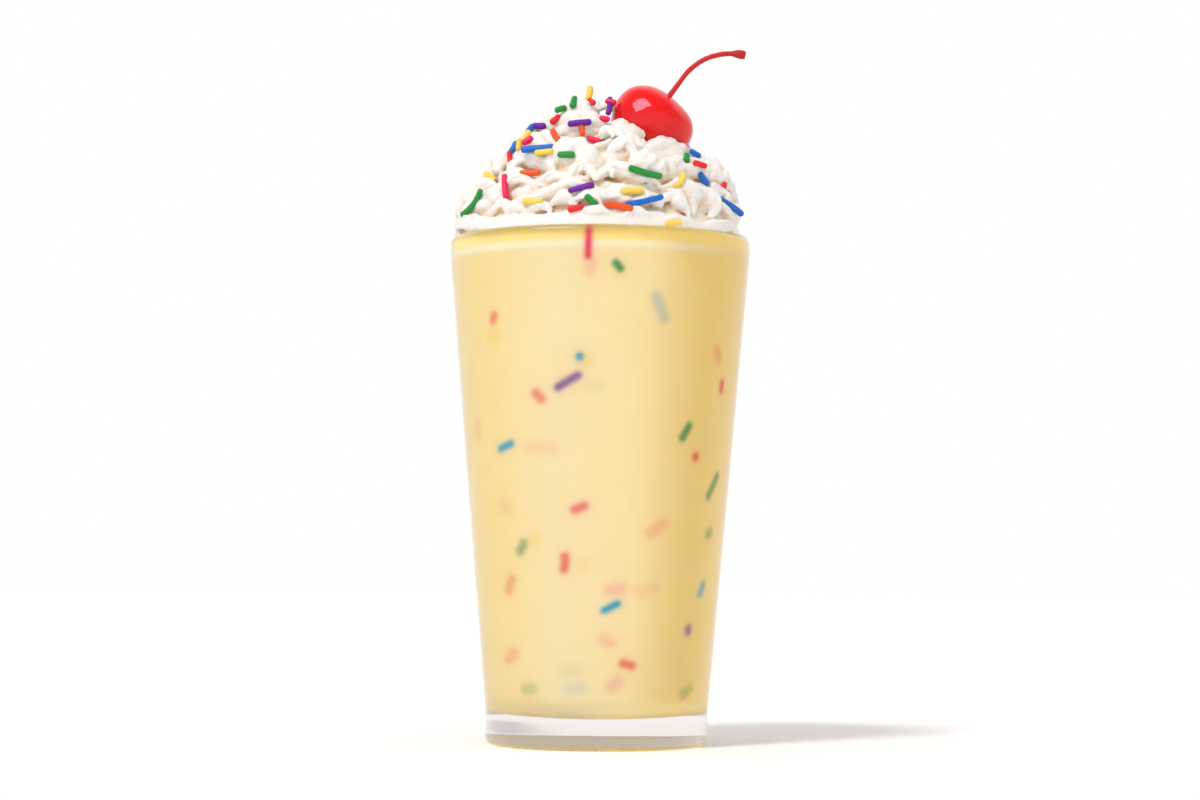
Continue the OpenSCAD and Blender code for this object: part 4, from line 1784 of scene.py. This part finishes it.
@dataclass
class Sprinkles:
    """All the sprinkles, on the cream and in the shake, as one piece for each colour."""

    cream: bpy.types.Object
    shake: Shake
    glass: PintGlass
    cherry: Cherry
    radius: float = 0.92
    uneven: float = 0.22
    taper: float = 0.3
    sides: int = 10
    seed: int = 4
    out_from: float = 4.0
    out_rise: float = 1.25
    front_lean: float = 0.8
    depth_most: float = 0.7
    thickness: Span = (0.92, 1.08)
    edge_lift: float = 1.0
    reach: float = 5.0
    top_share: float = 0.7
    mean_share: float = 0.3
    on_back: int = 60
    tries: int = 8
    clear: float = 5.0
    cherry_clear: float = 2.5
    rim_clear: float = 2.0
    back_from: float = 0.42
    back_normal: float = -0.15
    up_normal: float = -0.1
    back_thickness: Span = (0.92, 1.1)
    back_lift: float = 0.4
    back_length: Span = (3.2, 7.0)
    back_short: float = 1.6
    back_bend: float = 14.0
    in_back: int = 70
    back_start: float = 95.0
    back_turn: float = 170.0
    sunk_low: float = 18.0
    sunk_room: float = 27.0
    sunk_length: Span = (2.6, 5.5)
    sunk_short: float = 1.5
    sunk_bend: float = 12.0
    sunk_stains: tuple[float, ...] = (0.25, 0.4, 0.6, 0.85, 0.85)

    def __post_init__(self) -> None:
        """Prepares the cream's surface for laying and starts with no sprinkle."""
        faces = [tuple(p.vertices) for p in self.cream.data.polygons]
        self.surface = BVHTree.FromPolygons(points_of(self.cream).tolist(), faces)
        self.rng = np.random.default_rng(self.seed)
        self.paths: dict[Sugar, list[Path]] = {c: [] for c in Sugar}
        self.stains: list[Stain] = []

    def add(self, colour: Sugar, line: np.ndarray, radius: float) -> None:
        """Adds a sprinkle along a centre line."""
        self.paths[colour].append(rod(line, radius, self.rng.uniform(-self.taper, self.taper)))

    def rest(self, line: np.ndarray, normal: np.ndarray, height: float) -> np.ndarray:
        """Moves a centre line along a direction until it rests on the cream.

        Args:
            line: points of the centre line.
            normal: the direction away from the cream.
            height: height of the centre line over the cream.

        Returns:
            The moved points.
        """
        tops = []
        for point in line[1:-1:2]:
            start = Vector(point + normal * self.reach)
            hit, _, _, _ = self.surface.ray_cast(start, Vector(-normal), 2 * self.reach)
            if hit is not None:
                tops.append(float((np.array(hit) - point) @ normal))
        if not tops:
            return line
        level = self.top_share * max(tops) + self.mean_share * float(np.mean(tops))
        return line + normal * (level + height)

    def outward(self, place: np.ndarray) -> np.ndarray:
        """Returns the direction away from the plain heap at a place near its surface."""
        out = place - np.array([0.0, 0.0, self.glass.height + self.out_from])
        out[2] *= self.out_rise
        return out / np.linalg.norm(out)

    def lay_front(self) -> None:
        """Lays the sprinkles of ON_CREAM where they are seen from the front."""
        eye = Vector((0.0, -CAMERA_AWAY, CAMERA_UP))
        for laid in ON_CREAM:
            aim = Vector((laid.across, 0.0, self.glass.height + laid.up))
            hit, _, _, _ = self.surface.ray_cast(eye, (aim - eye).normalized())
            on_edge = hit is None
            if on_edge:
                hit, _, _, _ = self.surface.find_nearest(aim)
                hit = Vector((aim.x, hit.y, aim.z))
            n = self.outward(np.array(hit)) + np.array([0.0, -self.front_lean, 0.0])
            n /= np.linalg.norm(n)
            slope = math.radians(laid.slope)
            seen = np.array([math.cos(slope), 0.0, math.sin(slope)])
            depth = max(-self.depth_most, min(self.depth_most, -(seen @ n) / n[1]))
            along = seen + np.array([0.0, depth, 0.0])
            stretch = float(np.linalg.norm(along))
            along /= stretch
            side = np.array([-math.sin(slope), 0.0, math.cos(slope)])
            radius = self.radius * self.rng.uniform(*self.thickness)
            line = bent(np.array(hit), along, side, laid.length * stretch, laid.bend)
            if not on_edge and laid.lift < self.edge_lift:
                line = self.rest(line, n, laid.lift * radius)
            self.add(laid.colour, line, radius)

    def apart(self, picks: np.ndarray, centres: np.ndarray) -> list[int]:
        """Keeps the places that stand clear of one another.

        Args:
            picks: numbers of the places, in the order in which they are tried.
            centres: all the places.

        Returns:
            The numbers kept, as many as on_back at most.
        """
        kept: list[int] = []
        for pick in picks:
            gaps = [np.linalg.norm(centres[pick] - centres[k]) for k in kept]
            if len(kept) < self.on_back and min(gaps, default=self.clear) >= self.clear:
                kept.append(int(pick))
        return kept

    def scatter_back(self) -> None:
        """Scatters sprinkles over the sides and the back of the cream."""
        mesh = self.cream.data
        centres = np.array([p.center for p in mesh.polygons]) / MM
        normals = np.array([p.normal for p in mesh.polygons])
        areas = np.array([p.area for p in mesh.polygons])
        out = np.array([self.outward(centre) for centre in centres])
        away = (out[:, 1] > self.back_from) & (normals[:, 1] > self.back_normal)
        away &= normals[:, 2] > self.up_normal
        from_cherry = np.linalg.norm(centres - np.array(self.cherry.centre), axis=1) - self.cherry.radius
        outside = centres[:, 2] > self.glass.height + self.rim_clear
        share = areas * (away & (from_cherry > self.cherry_clear) & outside)
        picks = self.rng.choice(len(areas), self.tries * self.on_back, replace=False, p=share / share.sum())
        colours = [c for c in Sugar if c is not Sugar.TEAL]
        for pick in self.apart(picks, centres):
            n = self.outward(centres[pick])
            level = np.cross(n, self.rng.normal(size=3))
            level /= np.linalg.norm(level)
            radius = self.radius * self.rng.uniform(*self.back_thickness)
            length = self.back_length[0] + self.back_length[1] * self.rng.random() ** self.back_short
            bend = self.rng.normal() * self.back_bend
            line = bent(centres[pick], level, np.cross(n, level), length, bend)
            colour = colours[self.rng.integers(len(colours))]
            self.add(colour, self.rest(line, n, self.back_lift * radius), radius)

    def sink(self) -> None:
        """Sinks sprinkles into the shake: those of IN_SHAKE in front, and seeded ones round the back."""
        for sunk in IN_SHAKE:
            self.sink_one(sunk, *self.shake.seen_at(sunk.across, sunk.up))
        colours = list(Sugar)
        tall = self.glass.height - self.sunk_room
        for i, row in enumerate(self.rng.permutation(self.in_back)):
            turn = self.back_start + self.back_turn * (i + self.rng.uniform(0.1, 0.9)) / self.in_back
            up = self.sunk_low + tall * (row + self.rng.uniform(0.1, 0.9)) / self.in_back
            sunk = Sunk(
                colours[self.rng.integers(len(colours))],
                0.0,
                up,
                self.rng.uniform(-90, 90),
                self.sunk_length[0] + self.sunk_length[1] * self.rng.random() ** self.sunk_short,
                float(self.rng.choice(self.sunk_stains)),
                self.rng.normal() * self.sunk_bend,
            )
            self.sink_one(sunk, turn, up)

    def sink_one(self, sunk: Sunk, turn: float, up: float) -> None:
        """Sinks one sprinkle.

        Args:
            sunk: the sprinkle.
            turn: degrees round the glass from the front.
            up: height above the foot.
        """
        up = min(up, self.glass.height - self.shake.top_gap - 0.5 * sunk.length - 0.5)
        line = self.shake.sprinkle_path(sunk, self.radius, turn, up)
        middle = line[len(line) // 2]
        core = middle + (line - middle) * max(0.0, 1.0 - 2.0 * self.radius / sunk.length)
        self.stains.append((core, sunk.colour.value, sunk.stain))
        self.add(sunk.colour, line, self.radius)

    def build(self, rods: RodTree) -> list[bpy.types.Object]:
        """Builds one piece for each colour.

        Args:
            rods: the tree that makes the rods.

        Returns:
            The pieces.
        """
        made = []
        for colour, paths in self.paths.items():
            word = colour.name.lower()
            paint = SprinkleFinish(f"sugar_{word}", colour.value).make()
            piece = rods.build(f"sprinkles_{word}", paths, self.sides, self.uneven, paint)
            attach(piece, ROOT)
            made.append(piece)
        return made


# ---------------------------------------------------------------- studio


@dataclass(frozen=True)
class FloorFinish(Finish):
    """Plain pale floor that gives off a little light of its own, so its shadows stay soft."""

    grey: float = 0.93
    glow: float = 0.03
    glow_colour: Colour = (0.5, 0.3, 1.3)
    roughness: float = 0.9
    gloss: float = 0.1

    def make(self) -> bpy.types.Material:
        """Builds the material."""
        mat, _, shader = self.start()
        self.set(
            shader,
            Base_Color=(self.grey, self.grey, self.grey, 1.0),
            Roughness=self.roughness,
            Specular_IOR_Level=self.gloss,
            Emission_Color=(*self.glow_colour, 1.0),
            Emission_Strength=self.glow,
        )
        return mat


@dataclass
class Studio:
    """Pale floor, soft light and the camera. Turns and rises are in degrees."""

    lens: float = 87.8
    film_w: float = 36.0
    camera_x_m: float = 0.0003
    pitch: float = 3.3
    roll: float = 0.45
    near_m: float = 0.01
    far_m: float = 50.0
    floor_r_m: float = 6.0
    floor_sides: int = 64
    room_share: float = 0.3
    bright_turn: float = -22.0
    bright_rise: float = 30.0
    bright_span: Span = (-0.9, 0.9)
    wall_span: Span = (0.0, 0.6)
    level_span: Span = (0.5, 0.05)
    near_side: Colour = (0.87, 0.87, 0.88)
    far_side: Colour = (0.58, 0.51, 0.40)
    aim_up_m: float = 0.12
    sun_power: float = 1.5
    sun_colour: Colour = (1.0, 0.985, 0.96)
    sun_turn: float = -35.0
    sun_rise: float = 53.0
    sun_away_m: float = 3.0
    sun_spread: float = 11.0
    panel_m: float = 0.58
    panel_away_m: float = 1.25
    panel_power: float = 8.5
    panel_colour: Colour = (0.72, 1.0, 1.25)
    panel_turn: float = -39.0
    panel_rise: float = 42.0
    panel_spin: float = 35.0

    def build(self) -> None:
        """Builds the whole studio."""
        self.set_camera()
        self.set_world()
        self.set_floor()
        self.set_lamps()
        bpy.context.scene.view_settings.view_transform = "Standard"
        bpy.context.scene.view_settings.look = "None"

    def set_camera(self) -> None:
        """Places the camera in front, a little above the foot."""
        data = bpy.data.cameras.new("camera")
        data.lens = self.lens
        data.sensor_width = self.film_w
        data.clip_start = self.near_m
        data.clip_end = self.far_m
        camera = placed("camera", data)
        tilt = Matrix.Rotation(math.radians(90 + self.pitch), 4, "X")
        lean = Matrix.Rotation(math.radians(self.roll), 4, "Z")
        place = Matrix.Translation((self.camera_x_m, -CAMERA_AWAY * MM, CAMERA_UP * MM))
        camera.matrix_world = place @ tilt @ lean
        bpy.context.scene.camera = camera

    def set_world(self) -> None:
        """Makes a soft surround, brighter on the lamp's side, and plain white behind the glass."""
        world = bpy.data.worlds.new("surround")
        world.use_nodes = True
        bpy.context.scene.world = world
        tree = Tree(world.node_tree)
        back = world.node_tree.nodes["Background"]
        way = tree.node("ShaderNodeTexCoord")
        facing = tree.node("ShaderNodeVectorMath", operation="DOT_PRODUCT")
        facing.inputs[1].default_value = self.towards(self.bright_turn, self.bright_rise)
        behind = tree.node("ShaderNodeSeparateXYZ")
        for node in (facing, behind):
            tree.link(way.outputs["Generated"], node.inputs[0])
        share = tree.rise(facing.outputs["Value"], self.bright_span)
        soft = tree.mix(share, self.far_side, self.near_side)
        wall = tree.rise(behind.outputs["Y"], self.wall_span)
        level = tree.rise(behind.outputs["Z"], self.level_span)
        room = tree.mix(tree.maths("MAXIMUM", wall, level), (self.room_share,) * 3, WHITE)
        path = tree.node("ShaderNodeLightPath")
        through = tree.maths("SUBTRACT", 1.0, path.outputs["Is Transmission Ray"])
        mirrored = tree.maths("MULTIPLY", path.outputs["Is Glossy Ray"], through)
        tree.link(tree.mix(mirrored, soft, room), back.inputs["Color"])
        white = tree.node("ShaderNodeBackground", in_Color=(*WHITE, 1.0), in_Strength=1.0)
        both = tree.node("ShaderNodeMixShader")
        tree.link(path.outputs["Is Camera Ray"], both.inputs[0])
        tree.link(back.outputs[0], both.inputs[1])
        tree.link(white.outputs[0], both.inputs[2])
        tree.link(both.outputs[0], world.node_tree.nodes["World Output"].inputs["Surface"])

    @staticmethod
    def towards(turn: float, rise: float) -> Vector:
        """Returns the direction of a place round the glass.

        Args:
            turn: degrees round from the front, towards the right.
            rise: degrees above level.

        Returns:
            A vector of length one.
        """
        a, e = math.radians(turn), math.radians(rise)
        return Vector((math.sin(a) * math.cos(e), -math.cos(a) * math.cos(e), math.sin(e)))

    def set_floor(self) -> None:
        """Lays the plain pale floor."""
        r = self.floor_r_m / MM
        turns = [2 * math.pi * i / self.floor_sides for i in range(self.floor_sides)]
        ring = np.array([(r * math.cos(a), r * math.sin(a), 0) for a in turns])
        floor = mesh_object("floor", ring, [list(range(self.floor_sides))], smooth=False)
        floor.data.materials.append(FloorFinish("floor").make())

    def lamp(
        self, data: bpy.types.Light, turn: float, rise: float, away: float, spin: float = 0.0
    ) -> bpy.types.Object:
        """Hangs a lamp that points at the middle of the glass.

        Args:
            data: the lamp.
            turn: degrees round from the front, towards the right.
            rise: degrees above level.
            away: distance in metres.
            spin: turn round its own axis, in degrees.

        Returns:
            The lamp's object.
        """
        place = self.towards(turn, rise) * away
        lamp = placed(data.name, data)
        face = place.to_track_quat("Z", "Y").to_matrix().to_4x4()
        shift = Matrix.Translation(Vector((0, 0, self.aim_up_m)) + place)
        lamp.matrix_world = shift @ face @ Matrix.Rotation(math.radians(spin), 4, "Z")
        return lamp

    def set_lamps(self) -> None:
        """Hangs the main light and the panel that it shows as in wet surfaces."""
        sun = bpy.data.lights.new("key", "SUN")
        sun.energy = self.sun_power
        sun.angle = math.radians(self.sun_spread)
        sun.color = self.sun_colour
        key = self.lamp(sun, self.sun_turn, self.sun_rise, self.sun_away_m)
        key.visible_glossy = False
        panel = bpy.data.lights.new("panel", "AREA")
        panel.shape = "SQUARE"
        panel.size = self.panel_m
        panel.energy = self.panel_power
        panel.color = self.panel_colour
        box = self.lamp(panel, self.panel_turn, self.panel_rise, self.panel_away_m, self.panel_spin)
        box.visible_diffuse = False
        box.visible_transmission = False


# ---------------------------------------------------------------- the whole


def main() -> None:
    """Builds the milkshake and its studio, piece by piece."""
    Studio().build()
    Groups.build()
    rods = RodTree()
    glass = PintGlass()
    cherry = Cherry()
    shake = Shake(glass)
    heap = Cream(glass, cherry.centre, cherry.radius)
    cream_piece = heap.build(CreamFinish("whipped_cream").make())
    sprinkles = Sprinkles(cream_piece, shake, glass, cherry)
    sprinkles.lay_front()
    sprinkles.scatter_back()
    sprinkles.sink()
    pieces = [
        glass.build(ClearGlass("clear_glass").make()),
        shake.build(ShakeFinish("shake").make(), sprinkles.stains),
        cream_piece,
        cherry.build(CherryFinish("cherry_skin").make()),
        cherry.build_stem(rods, StemFinish("cherry_stem").make()),
        *sprinkles.build(rods),
    ]
    for piece in pieces:
        log.info("%s: %d points, %d faces", piece.name, len(piece.data.vertices), len(piece.data.polygons))


if __name__ == "__main__":
    main()
